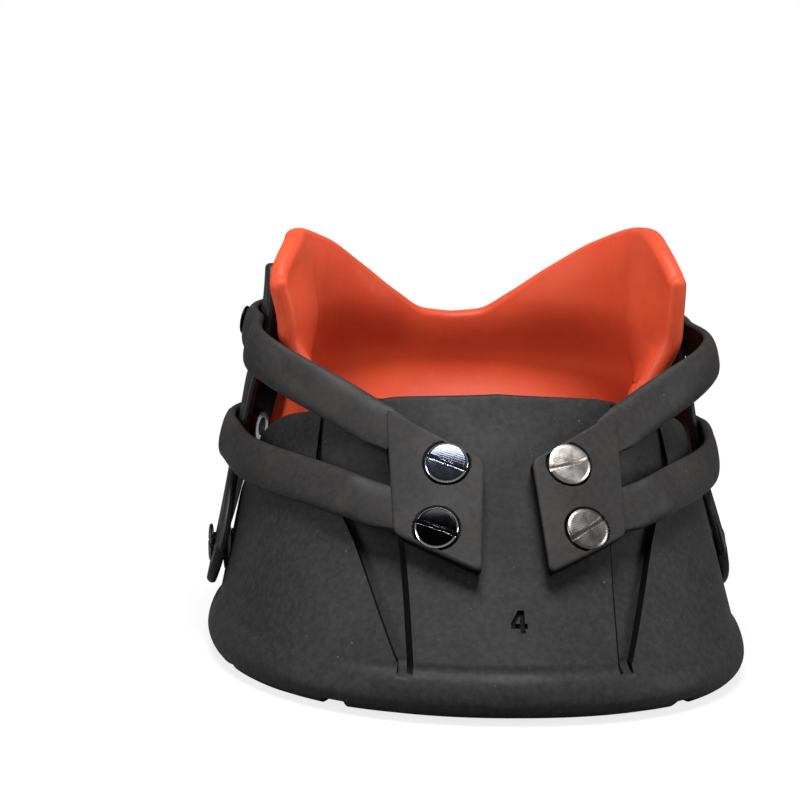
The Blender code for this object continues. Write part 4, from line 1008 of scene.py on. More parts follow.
def soft_liner(name):
    """Matte orange-red moulded foam with a silicone-like skin."""
    material, tree, shader = new_surface(name, LINER_COLOUR, LINER_ROUGHNESS, specular=LINER_SPECULAR)
    cloud = noise(tree, *LINER_CLOUD)
    tree.links.new(ramp(tree, cloud, *CLOUD_SPAN, *LINER_SHEEN), shader.inputs["Roughness"])
    base = mixed(tree, ramp(tree, cloud, *LINER_DEEP_RAMP), LINER_COLOUR, LINER_DEEP)
    base = mixed(tree, ramp(tree, noise(tree, *LINER_GRAIN), *LINER_GRAIN_RAMP), base, LINER_PALE)
    base = mixed(tree, specks(tree, *LINER_SPECKS), base, LINER_DARK)
    tree.links.new(base, shader.inputs["Base Color"])
    shader.inputs["Subsurface Weight"].default_value = LINER_SCATTER
    shader.inputs["Subsurface Radius"].default_value = LINER_SCATTER_REACH
    shader.inputs["Subsurface Scale"].default_value = 1.0
    for grain, distance, strength in LINER_BUMPS:
        bump(tree, shader, noise(tree, *grain), distance, strength)
    return material


def steel(name, colour, roughness, marks):
    """Metal with turning marks round its own axis, and small scratches."""
    material, tree, shader = new_surface(name, colour, roughness, 1.0)
    settings = {"Scale": TURNING_SCALE, "Distortion": TURNING_WAVER, "Detail": TURNING_WAVER}
    wave = over_object(tree, "ShaderNodeTexWave", settings)
    wave.wave_type = "RINGS"
    wave.rings_direction = "Z"
    bump(tree, shader, wave.outputs["Fac"], TURNING_HEIGHT, marks)
    bump(tree, shader, noise(tree, *SCRATCHES), SCRATCH_HEIGHT, marks)
    sheen = [roughness * spread for spread in STEEL_SPREAD]
    tree.links.new(ramp(tree, noise(tree, *STEEL_CLOUD), *CLOUD_SPAN, *sheen), shader.inputs["Roughness"])
    grime = ramp(tree, noise(tree, *GRIME), *GRIME_RAMP)
    dirty = mixed(tree, grime, colour, tuple(GRIME_SHADE * part for part in colour))
    tree.links.new(dirty, shader.inputs["Base Color"])
    return material


# Near-black rubber that paints shade where shade falls: the slots' side walls, the digit's faces and the
# plates' sides
SHADE = ((0.0025, 0.0025, 0.0025), (0.02, 0.02, 0.02), 0.60, 0.03, 0.10)
shell_rubber = rubber("shell_rubber_look", (0.015, 0.015, 0.016), (0.15, 0.15, 0.15), 0.56, 0.06, 0.20)
shell_painted_shade = rubber("shell_shade_look", *SHADE)
strap_rubber = rubber("strap_rubber_look", (0.021, 0.020, 0.020), (0.13, 0.115, 0.10), 0.56, 0.12, 0.22)
strap_painted_shade = rubber("strap_shade_look", *SHADE)
wrap_rubber = rubber("wrap_rubber_look", (0.009, 0.009, 0.010), (0.06, 0.06, 0.06), 0.48, 0.05, 0.35)
liner_foam = soft_liner("liner_foam_look")
chrome = steel("chrome_look", (0.78, 0.80, 0.83), 0.13, 0.10)
# Three metals that paint the reflections seen on the front screws' faces: dark blue-grey, near black and
# pale
steel_painted_blue_reflection = steel("blued_steel_look", (0.085, 0.095, 0.125), 0.14, 0.20)
steel_painted_black_reflection = steel("mirror_black_look", (0.006, 0.006, 0.007), 0.12, 0.05)
steel_painted_pale_reflection = steel("pale_steel_look", (0.62, 0.58, 0.55), 0.30, 0.25)
satin_steel = steel("satin_steel_look", (0.24, 0.22, 0.21), 0.30, 0.35)
black_steel = steel("black_steel_look", (0.012, 0.012, 0.013), 0.35, 0.30)
dark_gap = bpy.data.materials.new("dark_gap")
# Face and rim metal of each front screw, painted reflections on screws of one shape: the left faces are
# painted dark reflections with chrome rims as painted highlights, the right upper screw is a painted pale
# reflection and the right lower one is a dimmer painted reflection in satin steel
SCREW_PAINTED_REFLECTIONS = {
    ("left", "upper"): (steel_painted_blue_reflection, chrome),
    ("left", "lower"): (steel_painted_black_reflection, chrome),
    ("right", "upper"): (steel_painted_pale_reflection, steel_painted_pale_reflection),
    ("right", "lower"): (satin_steel, satin_steel),
}


# Shell

SPREAD_HEIGHTS = np.linspace(SLOT_FOOT_Z, TOE_TOP, SPREAD_STEPS)
SPREAD_SHARES = [eased_table(SLOT_PLACES, SLOT_SHARES, height) for height in SPREAD_HEIGHTS]


def slot_breaks(z):
    """Angles of a slot's four edge lines at each height; its tongue side flares upwards."""
    low = np.clip(z, SLOT_FOOT_Z, SLOT_OUTER_TOP)
    high = np.clip(z, SLOT_FOOT_Z, SLOT_INNER_TOP)
    inner = SLOT_TONGUE_X + TONGUE_FLARE * ((high - SLOT_FOOT_Z) / (TOE_TOP - SLOT_FOOT_Z)) ** 3
    spread = (wall_sizes(low)[0] - SLOT_TONGUE_X) * np.interp(low, SPREAD_HEIGHTS, SPREAD_SHARES)
    outer = SLOT_TONGUE_X + spread
    places = ((inner, high), (inner + TONGUE_DRAFT, high), (outer - SLOT_EDGE, low), (outer, low))
    return np.stack([wall_angle(*place) for place in places], -1)


def shell_angles():
    """Column angles, closer round the toe and in the slots, with one on each slot edge."""
    fine = np.linspace(-math.pi, math.pi, COLUMN_SAMPLES)
    weight = 1.0 + FRONT_DENSITY * np.exp(-((fine / FRONT_HALF_ANGLE) ** 6))
    walked = np.concatenate([[0.0], np.cumsum(0.5 * (weight[1:] + weight[:-1]))])
    even = np.interp(np.arange(SHELL_COLUMNS) / SHELL_COLUMNS, walked / walked[-1], fine)
    edges = slot_breaks(SLOT_FOOT_Z)
    within = np.linspace(edges[1], edges[2], SLOT_EXTRA_COLUMNS)[1:-1]
    size = np.abs(even)
    clear = (size < edges[0] - SLOT_CLEARANCE_ANGLE) | (size > edges[3] + SLOT_CLEARANCE_ANGLE)
    return np.sort(np.concatenate([even[clear], edges, within, -edges, -within]))


def follow_slots(angles, z):
    """Angles moved at each height so that the columns on a slot's edges stay on them."""
    size = moved = np.abs(angles)
    starts = [0.0, *slot_breaks(SLOT_FOOT_Z), SLOT_HOLD_ANGLE]
    ends = [0.0, *np.moveaxis(slot_breaks(z), -1, 0), SLOT_HOLD_ANGLE]
    for start, next_start, end, next_end in zip(starts, starts[1:], ends, ends[1:]):
        inside = (size >= start - EDGE_TOLERANCE) & (size <= next_start + EDGE_TOLERANCE)
        share = (size - start) / (next_start - start)
        moved = np.where(inside, end + share * (next_end - end), moved)
    return np.sign(angles) * moved


def wall_row(angles, table, share):
    """Angles and heights of one row of the wall."""
    moved = angles
    for _ in range(SLOT_SETTLE_STEPS):
        tops = np.interp(moved, *table)
        z = WALL_BASE_Z + share * (tops - LIP_ROUND - WALL_BASE_Z)
        moved = 0.5 * (moved + follow_slots(angles, z))
    return follow_slots(angles, z), z


def slot_mask(angles, z):
    """Share of the full depth that a slot has at each place, without its foot."""
    size, edges = np.abs(angles), slot_breaks(z)
    inner = (size - edges[..., 0]) / (edges[..., 1] - edges[..., 0])
    outer = (edges[..., 3] - size) / (edges[..., 3] - edges[..., 2])
    return np.clip(np.minimum(inner, outer), 0.0, 1.0)


def sink(points, normals, mask):
    """Points pushed back along Y, the way the mould pulls, to the slots' depth."""
    fade = 1.0 - SINK_FADE * ease((points[..., 2] - SINK_FADE_Z) / SINK_FADE_RUN)
    moved = points.copy()
    moved[..., 1] += SLOT_SINK * fade * mask / np.maximum(-normals[..., 1], SINK_LEAST)
    return moved


def seat_height(points):
    """Height of the strap seats above the wall's skin."""
    x, z = np.abs(points[..., 0]), points[..., 2]
    (ax, az), (bx, bz), (cx, cz), (dx, dz) = plate_corners(SEAT_INSET)
    inner = x - (dx + (ax - dx) * (z - dz) / (az - dz))
    top = (az + (bz - az) * (x - ax) / (bx - ax) - z) / math.sin(TOE_ANGLE)
    low = (z - dz - (cz - dz) * (x - dx) / (cx - dx)) / math.sin(TOE_ANGLE)
    inside = np.minimum(np.minimum(inner, bx - x), np.minimum(top, low))
    return STRAP_SEAT * ease(inside / SEAT_EDGE + 0.5) * (points[..., 1] < PIVOT_Y)


def groove_mask(x, y):
    """How far each place of the tread lies in a radial groove."""
    inside = np.full(x.shape, -1.0)
    for angle in np.radians(TREAD_GROOVE_ANGLES):
        for side in SIDES.values():
            foot = np.array(rim_line(side * angle, TREAD_RING_INSET))
            way = np.array(rim_line(side * angle, 0.0)) - foot
            way /= np.linalg.norm(way)
            along = (x - foot[0]) * way[0] + (y - foot[1]) * way[1]
            across = np.abs((x - foot[0]) * way[1] - (y - foot[1]) * way[0])
            inside = np.maximum(inside, np.minimum(0.5 * TREAD_GROOVE - across, along))
    return inside


def toe_share(angles):
    """How much of the toe's rocker each column takes."""
    return np.maximum(np.cos(angles), 0.0) ** 2


def tread_ring(angles, inset, height, rocker):
    """One ring of the sole, lifted where a groove crosses it and at the toe."""
    x, y = rim_line(angles, inset)
    in_ring = min(inset - TREAD_RING_INSET, TREAD_RING_INSET + TREAD_GROOVE - inset)
    lift = TREAD_DEPTH * ease(np.maximum(groove_mask(x, y), in_ring) / SEAT_EDGE + 0.5)
    lift = np.maximum(lift, rocker * TOE_ROCKER_LIFT * toe_share(angles))
    return np.stack([x, y, np.maximum(height, lift)], -1)


def sole_rings(angles):
    """Rings of the sole, from its centre out and round the rim's lower edge."""
    past, margin, before = TREAD_MARGINS
    groove_end = TREAD_RING_INSET + TREAD_GROOVE
    centre_rings, groove_rings, rim_rings = TREAD_RING_COUNTS
    insets = np.concatenate([
        np.linspace(TREAD_CENTRE_SHARE * 0.5 * RIM_WIDTH, groove_end + past, centre_rings),
        np.linspace(groove_end + margin, TREAD_RING_INSET - margin, groove_rings),
        np.linspace(TREAD_RING_INSET - before, RIM_EDGE_ROUND, rim_rings),
    ])
    rings = []
    for inset in insets:
        rocker = max(0.0, 1.0 - (inset - RIM_EDGE_ROUND) / TOE_ROCKER_REACH)
        rings.append(tread_ring(angles, inset, 0.0, rocker))
    for turn in np.linspace(0.0, QUARTER, RIM_EDGE_RINGS)[1:]:
        rocker = 1.0 - turn / QUARTER
        inset, height = RIM_EDGE_ROUND * (1.0 - math.sin(turn)), RIM_EDGE_ROUND * (1.0 - math.cos(turn))
        ring = tread_ring(angles, inset, height, rocker)
        drawn = tread_ring(angles, inset + TOE_ROCKER_REACH * rocker * TOE_ROCKER_DRAW, height, 0.0)
        ring[:, :2] += (drawn[:, :2] - ring[:, :2]) * toe_share(angles)[:, None]
        rings.append(ring)
    return rings


def inner_rings(moved, tops):
    """Rings over the lip, down the wall's inner face and round to the floor."""
    rings = []
    for turn in np.linspace(QUARTER, 0.0, LIP_STEPS + 1):
        z = tops - LIP_ROUND * (1.0 - math.sin(turn))
        rings.append(wall_out(moved, z, LIP_ROUND * (1.0 - math.cos(turn)) - WALL_THICKNESS))
    level = wall_normal(moved, np.full(moved.shape, RIM_HEIGHT))
    floor = FLOOR_TOP + FLOOR_FILLET + WALL_THICKNESS * level[:, 2]
    for share in np.linspace(1.0, 0.0, INNER_ROWS)[1:]:
        z = floor + share * (tops - LIP_ROUND - floor)
        rings.append(wall_out(moved, z, -WALL_THICKNESS))
    foot = rings[-1]
    level[:, 2] = 0.0
    level /= np.linalg.norm(level, axis=-1, keepdims=True)
    for turn in np.linspace(0.0, QUARTER, FILLET_RINGS)[1:]:
        ring = foot - level * FLOOR_FILLET * (1.0 - math.cos(turn))
        ring[:, 2] = FLOOR_TOP + FLOOR_FILLET * (1.0 - math.sin(turn))
        rings.append(ring)
    return rings


def shell_rings():
    """All rings of the shell from the sole's centre to the floor inside, with their slot depths."""
    angles = shell_angles()
    fine = np.linspace(-math.pi, math.pi, TOP_SAMPLES)
    heights = [eased_table(TOP_EDGE_ANGLES, TOP_EDGE_HEIGHTS, abs(math.degrees(angle))) for angle in fine]
    table = (fine, heights)
    rings = sole_rings(angles)
    unsunk = np.zeros(angles.shape)
    depth = [unsunk] * len(rings)
    start = np.stack([*rim_line(angles, 0.0), np.full(angles.shape, RIM_EDGE_ROUND)], -1)
    crest = start + np.array([0.0, 0.0, RIM_HEIGHT * RIM_CREST_SHARE - RIM_EDGE_ROUND])
    end = wall_skin(angles, np.full(angles.shape, WALL_BASE_Z))
    normal = wall_normal(angles, np.full(angles.shape, WALL_FOOT_Z))
    mask = slot_mask(*wall_row(angles, table, 0.0))
    for share in np.linspace(0.0, 1.0, BEND_ROWS)[1:-1]:
        bend = bezier(start, crest, end, share)
        sag = CREASE_SAG * math.exp(-((share - CREASE_PLACE) / CREASE_WIDTH) ** 2)
        depth.append(mask * ease((bend[..., 2] - LEDGE_Z) / LEDGE_RUN))
        rings.append(sink(bend - normal * sag, normal, depth[-1]))
    for share in np.linspace(0.0, 1.0, WALL_ROWS):
        moved, z = wall_row(angles, table, share)
        mask = slot_mask(moved, z)
        raised = wall_out(moved, z, seat_height(wall_skin(moved, z)) * (mask <= 0.0))
        depth.append(mask * ease((z - LEDGE_Z) / LEDGE_RUN))
        rings.append(sink(raised, wall_normal(moved, z), depth[-1]))
    tops = z + LIP_ROUND
    for turn in np.linspace(0.0, QUARTER, LIP_STEPS + 1)[1:]:
        z = tops - LIP_ROUND * (1.0 - math.sin(turn))
        lip = wall_out(moved, z, -LIP_ROUND * (1.0 - math.cos(turn)))
        rings.append(sink(lip, wall_normal(moved, z), mask))
    rings += inner_rings(moved, tops)
    depth += [unsunk] * (len(rings) - len(depth))
    return np.array(rings), np.array(depth)


def paint_slot_shade(mesh, depth):
    """Give the slots' side faces the near-black rubber, painted shade for the shade in the slots."""
    step = np.abs(np.roll(depth, -1, axis=1) - depth)
    dark = np.minimum(step[:-1], step[1:]) > SHADE_STEP
    index = np.zeros(len(mesh.polygons), dtype=np.int32)
    index[:dark.size] = dark.reshape(-1)
    mesh.polygons.foreach_set("material_index", index)


def digit_cutter():
    """Plain numeral that is engraved low on the toe, its faces near-black as painted shade."""
    solids = []
    for shape in (DIGIT_OUTLINE, DIGIT_WINDOW):
        edit = bmesh.new()
        loops = []
        for outward in (-DIGIT_DEPTH, OVERRUN):
            loop = []
            for across, up in shape:
                x = DIGIT_X + (across - 0.5) * DIGIT_WIDTH
                z = DIGIT_Z + (up - 0.5) * DIGIT_HEIGHT * math.sin(TOE_ANGLE)
                loop.append(edit.verts.new(Vector(wall_out(wall_angle(x, z), z, outward))))
            loops.append(loop)
        low, high = loops
        for index in range(len(shape)):
            edit.faces.new((low[index - 1], low[index], high[index], high[index - 1]))
        edit.faces.new(low[::-1])
        edit.faces.new(high)
        bmesh.ops.recalc_face_normals(edit, faces=edit.faces)
        # The engraving's faces take the second, near-black material: painted shade
        for face in edit.faces:
            face.material_index = 1
        mesh = drawn_mesh("digit", edit)
        mesh.materials.append(shell_rubber)
        mesh.materials.append(shell_painted_shade)
        solids.append(new_object("digit", mesh))
    cut(solids[0], solids[1])
    return solids[0]


def build_shell():
    """Detailed shell with its digit and the seats of its fasteners."""
    rings, depth = shell_rings()
    mesh = grid_mesh("shell", rings, (0.0, 0.0, 0.0), (0.0, 0.0, FLOOR_TOP))
    piece = link_mesh("shell_body", mesh, shell_rubber)
    # Second material: near-black rubber, painted shade for the slots' side walls and the digit's faces
    mesh.materials.append(shell_painted_shade)
    paint_slot_shade(mesh, depth)
    cut(piece, digit_cutter())
    deep = PIVOT_NUT_SEAT - 2.0 * OVERRUN
    for side in SIDES.values():
        for place in screw_places(side).values():
            cut_round(piece, place, NUT_BARREL, -2.0 * OVERRUN, OVERRUN)
            cut_round(piece, place, NUT_FLANGE, -2.0 * OVERRUN, NUT_SEAT)
        place = pivot_place(side)
        cut_round(piece, place, PIVOT_WASHER, 0.0, 2.0 * OVERRUN)
        cut_round(piece, place, PIVOT_BARREL, deep, OVERRUN)
        cut_round(piece, place, PIVOT_NUT_FLANGE, deep, PIVOT_NUT_SEAT)
    return hand_over(settle(piece), "shell")


# Straps


def rounded_outline(corners, radius):
    """Evenly spaced outline of a polygon in X and height with rounded corners."""
    corners = [Vector(corner) for corner in corners]
    outline = []
    for index, corner in enumerate(corners):
        start = corner + (corners[index - 1] - corner).normalized() * radius
        end = corner + (corners[(index + 1) % len(corners)] - corner).normalized() * radius
        outline += [bezier(start, corner, end, step / CORNER_STEPS) for step in range(CORNER_STEPS + 1)]
    outline.append(outline[0])
    lengths = [(second - first).length for first, second in zip(outline, outline[1:])]
    walked = np.concatenate([[0.0], np.cumsum(lengths)])
    places = np.linspace(0.0, walked[-1], PLATE_OUTLINE_POINTS, endpoint=False)
    return np.stack([np.interp(places, walked, [point[axis] for point in outline]) for axis in (0, 1)], 1)


def pocket_depth(points, side):
    """Depth of the round screw pockets in a plate's face."""
    depth = np.zeros(points.shape[:-1])
    rim = 0.5 * SCREW_HEAD + POCKET_CLEARANCE
    for place in screw_places(side).values():
        axis = np.array(place.col[2][:3])
        away = points - np.array(place.translation)
        distance = np.linalg.norm(away - (away @ axis)[..., None] * axis, axis=-1)
        depth = np.maximum(depth, POCKET_DEPTH * ease((rim - distance) / POCKET_EDGE + 0.5))
    return depth


def build_plate(side):
    """Strap plate with rounded edges, its sides near-black as painted shade, and two sunk pockets."""
    outline = rounded_outline(plate_corners(), PLATE_CORNER)
    centre = outline.mean(axis=0)
    away = outline - centre
    size = np.linalg.norm(away, axis=1, keepdims=True)
    edge = PLATE_EDGE_ROUND
    layout = [(PLATE_BACK_REACH * share, PLATE_INNER) for share in np.linspace(1.0, 0.0, PLATE_BACK_RINGS)]
    layout += [
        (0.0, PLATE_INNER + (PLATE_THICKNESS - edge) * share)
        for share in np.linspace(PLATE_SIDE_START, 1.0, PLATE_SIDE_RINGS)
    ]
    layout += [
        (edge * (1.0 - math.cos(turn)), PLATE_OUTER - edge * (1.0 - math.sin(turn)))
        for turn in np.linspace(0.0, QUARTER, PLATE_EDGE_RINGS)[1:]
    ]
    rings = []
    for inset, outward in layout:
        x, z = (centre + away * (1.0 - inset / size)).T
        rings.append(wall_out(side * wall_angle(x, z), z, outward))
    for share in np.linspace(1.0, PLATE_CENTRE_SHARE, PLATE_RINGS)[1:]:
        x, z = (centre + away * ((1.0 - edge / size) * share)).T
        angle = side * wall_angle(x, z)
        depth = pocket_depth(wall_out(angle, z, PLATE_OUTER), side)
        rings.append(wall_out(angle, z, PLATE_OUTER - depth))
    plate = link_mesh("plate", grid_mesh("plate", np.array(rings)), strap_rubber)
    plate.data.materials.append(strap_painted_shade)
    # The plate's side faces take the near-black rubber, painted shade along the plate's sides
    first, last = (rows * len(outline) for rows in (PLATE_BACK_RINGS, PLATE_BACK_RINGS + PLATE_SIDE_RINGS))
    for index in range(first, last):
        plate.data.polygons[index].material_index = 1
    return plate


def domed_section():
    """Section of an arm: flat back, rounded edges and a soft dome."""
    corner = ARM_CORNER_SHARE * ARM_EDGE_THICKNESS
    inset = corner / (0.5 * ARM_WIDTH)
    edge = [
        (1.0 - inset * (1.0 - math.cos(turn)), corner * (1.0 + math.sin(turn)))
        for turn in np.linspace(-QUARTER, 0.0, ARM_EDGE_POINTS)
    ]
    shoulder = ARM_SHOULDER_SHARE * ARM_EDGE_THICKNESS
    points = [(share, 0.0) for share in np.linspace(-ARM_BACK_SHARE, ARM_BACK_SHARE, ARM_BACK_POINTS)] + edge
    for share in np.linspace(1.0, -1.0, 2 * ARM_FINE_SECTION + 1):
        bow = max(1.0 - abs(share) ** ARM_DOME_POWER, 0.0) ** ARM_BOW_POWER
        points.append((share, shoulder + (ARM_EDGE_THICKNESS - shoulder + ARM_CROWN) * bow))
    points += [(-share, rise) for share, rise in reversed(edge)]
    kept = [points[0]]
    for point in points[1:]:
        if math.dist(point, kept[-1]) > LEAST_SPACING:
            kept.append(point)
    return kept


def build_arm(stations):
    """One domed arm with a rounded free end; its root rises to meet the plate."""
    half = 0.5 * ARM_WIDTH
    frames = [(*place, 1.0) for place in fine_route(stations)]
    tip, heading, normal, _ = frames[-1]
    for turn in np.linspace(0.0, ARM_TIP_TURN, ARM_TIP_RINGS)[1:]:
        frames.append((tip + heading * (half * math.sin(turn)), heading, normal, math.cos(turn)))
    section = domed_section()
    crest = ARM_EDGE_THICKNESS + ARM_CROWN
    rings = []
    walked, last = 0.0, frames[0][0]
    for point, heading, normal, trim in frames:
        walked += (point - last).length
        last = point
        root = smooth_share(1.0 - walked / ARM_ROOT_RUN)
        width = half * trim * (1.0 - ARM_ROOT_TRIM * smooth_share(1.0 - walked / ARM_ROOT_HIDDEN))
        across = heading.cross(normal)
        ring = []
        for share, rise in section:
            if rise > ARM_DOME_START * ARM_EDGE_THICKNESS:
                rise += (crest - rise) * ARM_ROOT_FLAT * root
            rise *= 1.0 + ARM_ROOT_GROWTH * root
            ring.append(tuple(point + across * (width * share) + normal * rise))
        rings.append(ring)
    return link_mesh("arm", grid_mesh("arm", np.array(rings)), strap_rubber)


def build_strap(label, side):
    """Y strap: plate and two arms, with the row of holes in each arm."""
    parts = [build_plate(side)]
    for level, height in STUD_HEIGHTS.items():
        arm = build_arm(arm_stations(side, level))
        for place in hole_places(side, height):
            cut_round(arm, place, STUD_SHANK, -OVERRUN, 2.0 * OVERRUN)
        parts.append(settle(arm))
    edit = bmesh.new()
    for part in parts:
        edit.from_mesh(bake_in(part).data)
    name = f"{label}_strap"
    mesh = drawn_mesh(name, edit)
    for part in parts:
        bpy.data.objects.remove(part, do_unlink=True)
    piece = link_mesh(name, mesh, strap_rubber)
    # Second material: near-black rubber, painted shade on the plates' sides
    mesh.materials.append(strap_painted_shade)
    return hand_over(piece, f"strap_{label}")


# Fasteners


def screw_head(name, place, low, length, widths, height, crown, spin, material):
    """Slotted screw with a rounded rim and a slightly domed face."""
    shank, radius = (0.5 * width for width in widths)
    high = low + height
    profile = [(shank, low - length), (shank, low - EDGE_BREAK)]
    profile += [(radius - EDGE_BREAK, low), (radius, low + EDGE_BREAK)]
    for turn in np.linspace(0.0, QUARTER, HEAD_ROUND_RINGS):
        inset, drop = SCREW_ROUND * (1.0 - math.cos(turn)), SCREW_ROUND * (1.0 - math.sin(turn))
        profile.append((radius - inset, high - drop))
    for share in np.linspace(*HEAD_FACE_SHARES, HEAD_FACE_RINGS):
        profile.append((radius * share, high + crown * (1.0 - share ** 2)))
    screw = turned(name, profile, place, material, HEAD_SEGMENTS)
    edit = bmesh.new()
    bmesh.ops.create_cube(edit, size=1.0)
    size = (2.0 * radius + OVERRUN, DRIVE_SLOT_WIDTH, 2.0 * OVERRUN)
    bmesh.ops.scale(edit, vec=size, verts=edit.verts)
    tool = link_mesh("slot_tool", drawn_mesh("slot_tool", edit), dark_gap)
    lift = Matrix.Translation((0.0, 0.0, high + crown - DRIVE_SLOT_DEPTH + OVERRUN))
    tool.matrix_world = place @ Matrix.Rotation(spin, 4, "Z") @ lift
    bpy.context.view_layer.update()
    cut(screw, tool)
    settle(screw)
    bevel = screw.modifiers.new("edge", "BEVEL")
    bevel.width = SLOT_BEVEL
    bevel.segments = 2
    bevel.limit_method = "ANGLE"
    bevel.angle_limit = BEVEL_ANGLE
    apply_modifiers(screw)
    screw.data.set_sharp_from_angle(angle=HEAD_SHARP_ANGLE)
    return bake_in(screw)


def brighten_rim(screw, place, rim):
    """Give the rounded rim and the slot's lower edge of a screw the rim's metal, a painted highlight against
    its face's painted reflection.
    """
    screw.data.materials.append(rim)
    centre, axis = Vector(place.translation), Vector(place.col[2][:3])
    for face in screw.data.polygons:
        away = face.center - centre
        radius = (away - axis * away.dot(axis)).length
        if face.normal.dot(axis) < RIM_NORMAL or radius > RIM_START_SHARE * 0.5 * SCREW_HEAD:
            face.material_index = 1


def flanged_nut(name, place, widths, bore, seat, top):
    """Nut with a flange against its seat and a barrel up to a height."""
    flange, barrel = (0.5 * width for width in widths)
    high = seat - FIT_GAP
    low = high - NUT_FLANGE_THICKNESS
    profile = ((flange - EDGE_BREAK, low), (flange, low + EDGE_BREAK), (flange, high))
    profile += ((barrel, high), (barrel, top))
    return bored(name, profile, place, bore, satin_steel)


def broken_disc(name, place, width, bore, heights, breaks, material):
    """Washer or plain nut: a bored disc with broken edges."""
    radius, (low, high), (under, over) = 0.5 * width, heights, breaks
    profile = ((radius - under, low), (radius, low + under), (radius, high - over), (radius - over, high))
    return bored(name, profile, place, bore, material)


def build_stud(name, place, low, head):
    """Button with a rounded rim on a plain shank."""
    radius = 0.5 * STUD_HEAD
    profile = [(0.5 * STUD_SHANK, low), (0.5 * STUD_SHANK, head), (radius - EDGE_BREAK, head)]
    for turn in np.linspace(*STUD_RIM_TURNS, STUD_RIM_RINGS):
        inset = STUD_ROUND * (1.0 - math.cos(turn)) + STUD_SHOULDER * max(turn - STUD_SHOULDER_TURN, 0.0)
        profile.append((radius - inset, head + STUD_HEAD_HEIGHT * (0.5 + 0.5 * math.sin(turn))))
    for share in np.linspace(*STUD_FACE_SHARES, STUD_FACE_RINGS):
        profile.append((radius * share, head + STUD_HEAD_HEIGHT + STUD_FACE_CROWN * (1.0 - share ** 2)))
    return bake_in(turned(name, profile, place, black_steel))


def build_fasteners(label, side):
    """Strap screws, their tee nuts, the pivot and the studs of one side."""
    root, cuff = [], []
    for level, place in screw_places(side).items():
        # The face and rim metals paint this screw's reflections and highlights
        face, rim = SCREW_PAINTED_REFLECTIONS[(label, level)]
        screw = screw_head(
            f"{label}_{level}_strap_screw", place, HEAD_SEAT, SCREW_LENGTH, (SCREW_SHANK, SCREW_HEAD),
            SCREW_HEAD_HEIGHT, SCREW_FACE_CROWN, SLOT_SPIN[(label, level)], face,
        )
        brighten_rim(screw, place, rim)
        root.append(hand_over(screw, f"strap_screw_{label}_{level}"))
        nut = flanged_nut(
            f"{label}_{level}_tee_nut", place, (NUT_FLANGE, NUT_BARREL), SCREW_SHANK, NUT_SEAT,
            STRAP_SEAT - FIT_GAP,
        )
        root.append(hand_over(nut, f"tee_nut_{label}_{level}"))
    place = pivot_place(side)
    low = FLAP_OUTER + FIT_GAP
    length = low - PIVOT_NUT_SEAT + FIT_GAP + NUT_FLANGE_THICKNESS
    screw = screw_head(
        f"{label}_pivot_screw", place, low, length, (PIVOT_SHANK, PIVOT_HEAD),
        PIVOT_HEAD_HEIGHT, PIVOT_FACE_CROWN, 0.0, black_steel,
    )
    washer = broken_disc(
        f"{label}_pivot_washer", place, PIVOT_WASHER, PIVOT_SHANK, (FIT_GAP, FLAP_INNER - FIT_GAP),
        WASHER_BREAKS, satin_steel,
    )
    nut = flanged_nut(
        f"{label}_pivot_nut", place, (PIVOT_NUT_FLANGE, PIVOT_BARREL), PIVOT_SHANK, PIVOT_NUT_SEAT, -FIT_GAP
    )
    for kind, piece in (("screw", screw), ("washer", washer), ("nut", nut)):
        root.append(hand_over(piece, f"pivot_{kind}_{label}"))
    head = STRAP_BED + ARM_EDGE_THICKNESS + ARM_CROWN + FIT_GAP
    high = -0.5 * WRAP_THICKNESS - FIT_GAP
    low = high - STUD_NUT_THICKNESS
    for level, place in stud_places(side).items():
        stud = build_stud(f"{label}_{level}_stud", place, low, head)
        cuff.append(hand_over(stud, f"strap_stud_{label}_{level}"))
        nut = broken_disc(
            f"{label}_{level}_stud_nut", place, STUD_NUT, STUD_SHANK, (low, high), STUD_NUT_BREAKS, chrome
        )
        cuff.append(hand_over(nut, f"stud_nut_{label}_{level}"))
    return root, cuff


# Heel cuff


def fine_column(skin, share, bottom, top, mean, pad_of):
    """Closed loop of one column of a padded sheet with round edges."""
    half = 0.5 * mean
    frames = []
    for row in range(CUFF_FINE_ROWS + 1):
        z = bottom + half + (top - bottom - mean) * row / CUFF_FINE_ROWS
        sunk = half + pad_of(share, z, bottom, top)
        frames.append((*outward_normal(skin, share, z, NORMAL_HEIGHT_STEP), sunk))
    loop = [point + normal * half for point, normal, _ in frames]
    for (point, normal, sunk), sense in ((frames[-1], 1.0), (frames[0], -1.0)):
        for step in range(1, EDGE_FINE_STEPS + 1):
            turn = math.pi * step / (EDGE_FINE_STEPS + 1)
            rise = Vector((0.0, 0.0, half * math.sin(turn) * sense))
            reach = 0.5 * (half - sunk) + 0.5 * (half + sunk) * math.cos(turn) * sense
            loop.append(point + normal * reach + rise)
        if sense > 0.0:
            loop += [point - normal * sunk for point, normal, sunk in reversed(frames)]
    return loop


def mate_loop(loop):
    """Each point's mate on the other face of a column."""
    rows, edge = CUFF_FINE_ROWS + 1, EDGE_FINE_STEPS
    outer, crown = loop[:rows], loop[rows:rows + edge]
    inner, keel = loop[rows + edge:2 * rows + edge], loop[2 * rows + edge:]
    return inner[::-1] + crown[::-1] + outer[::-1] + keel[::-1]


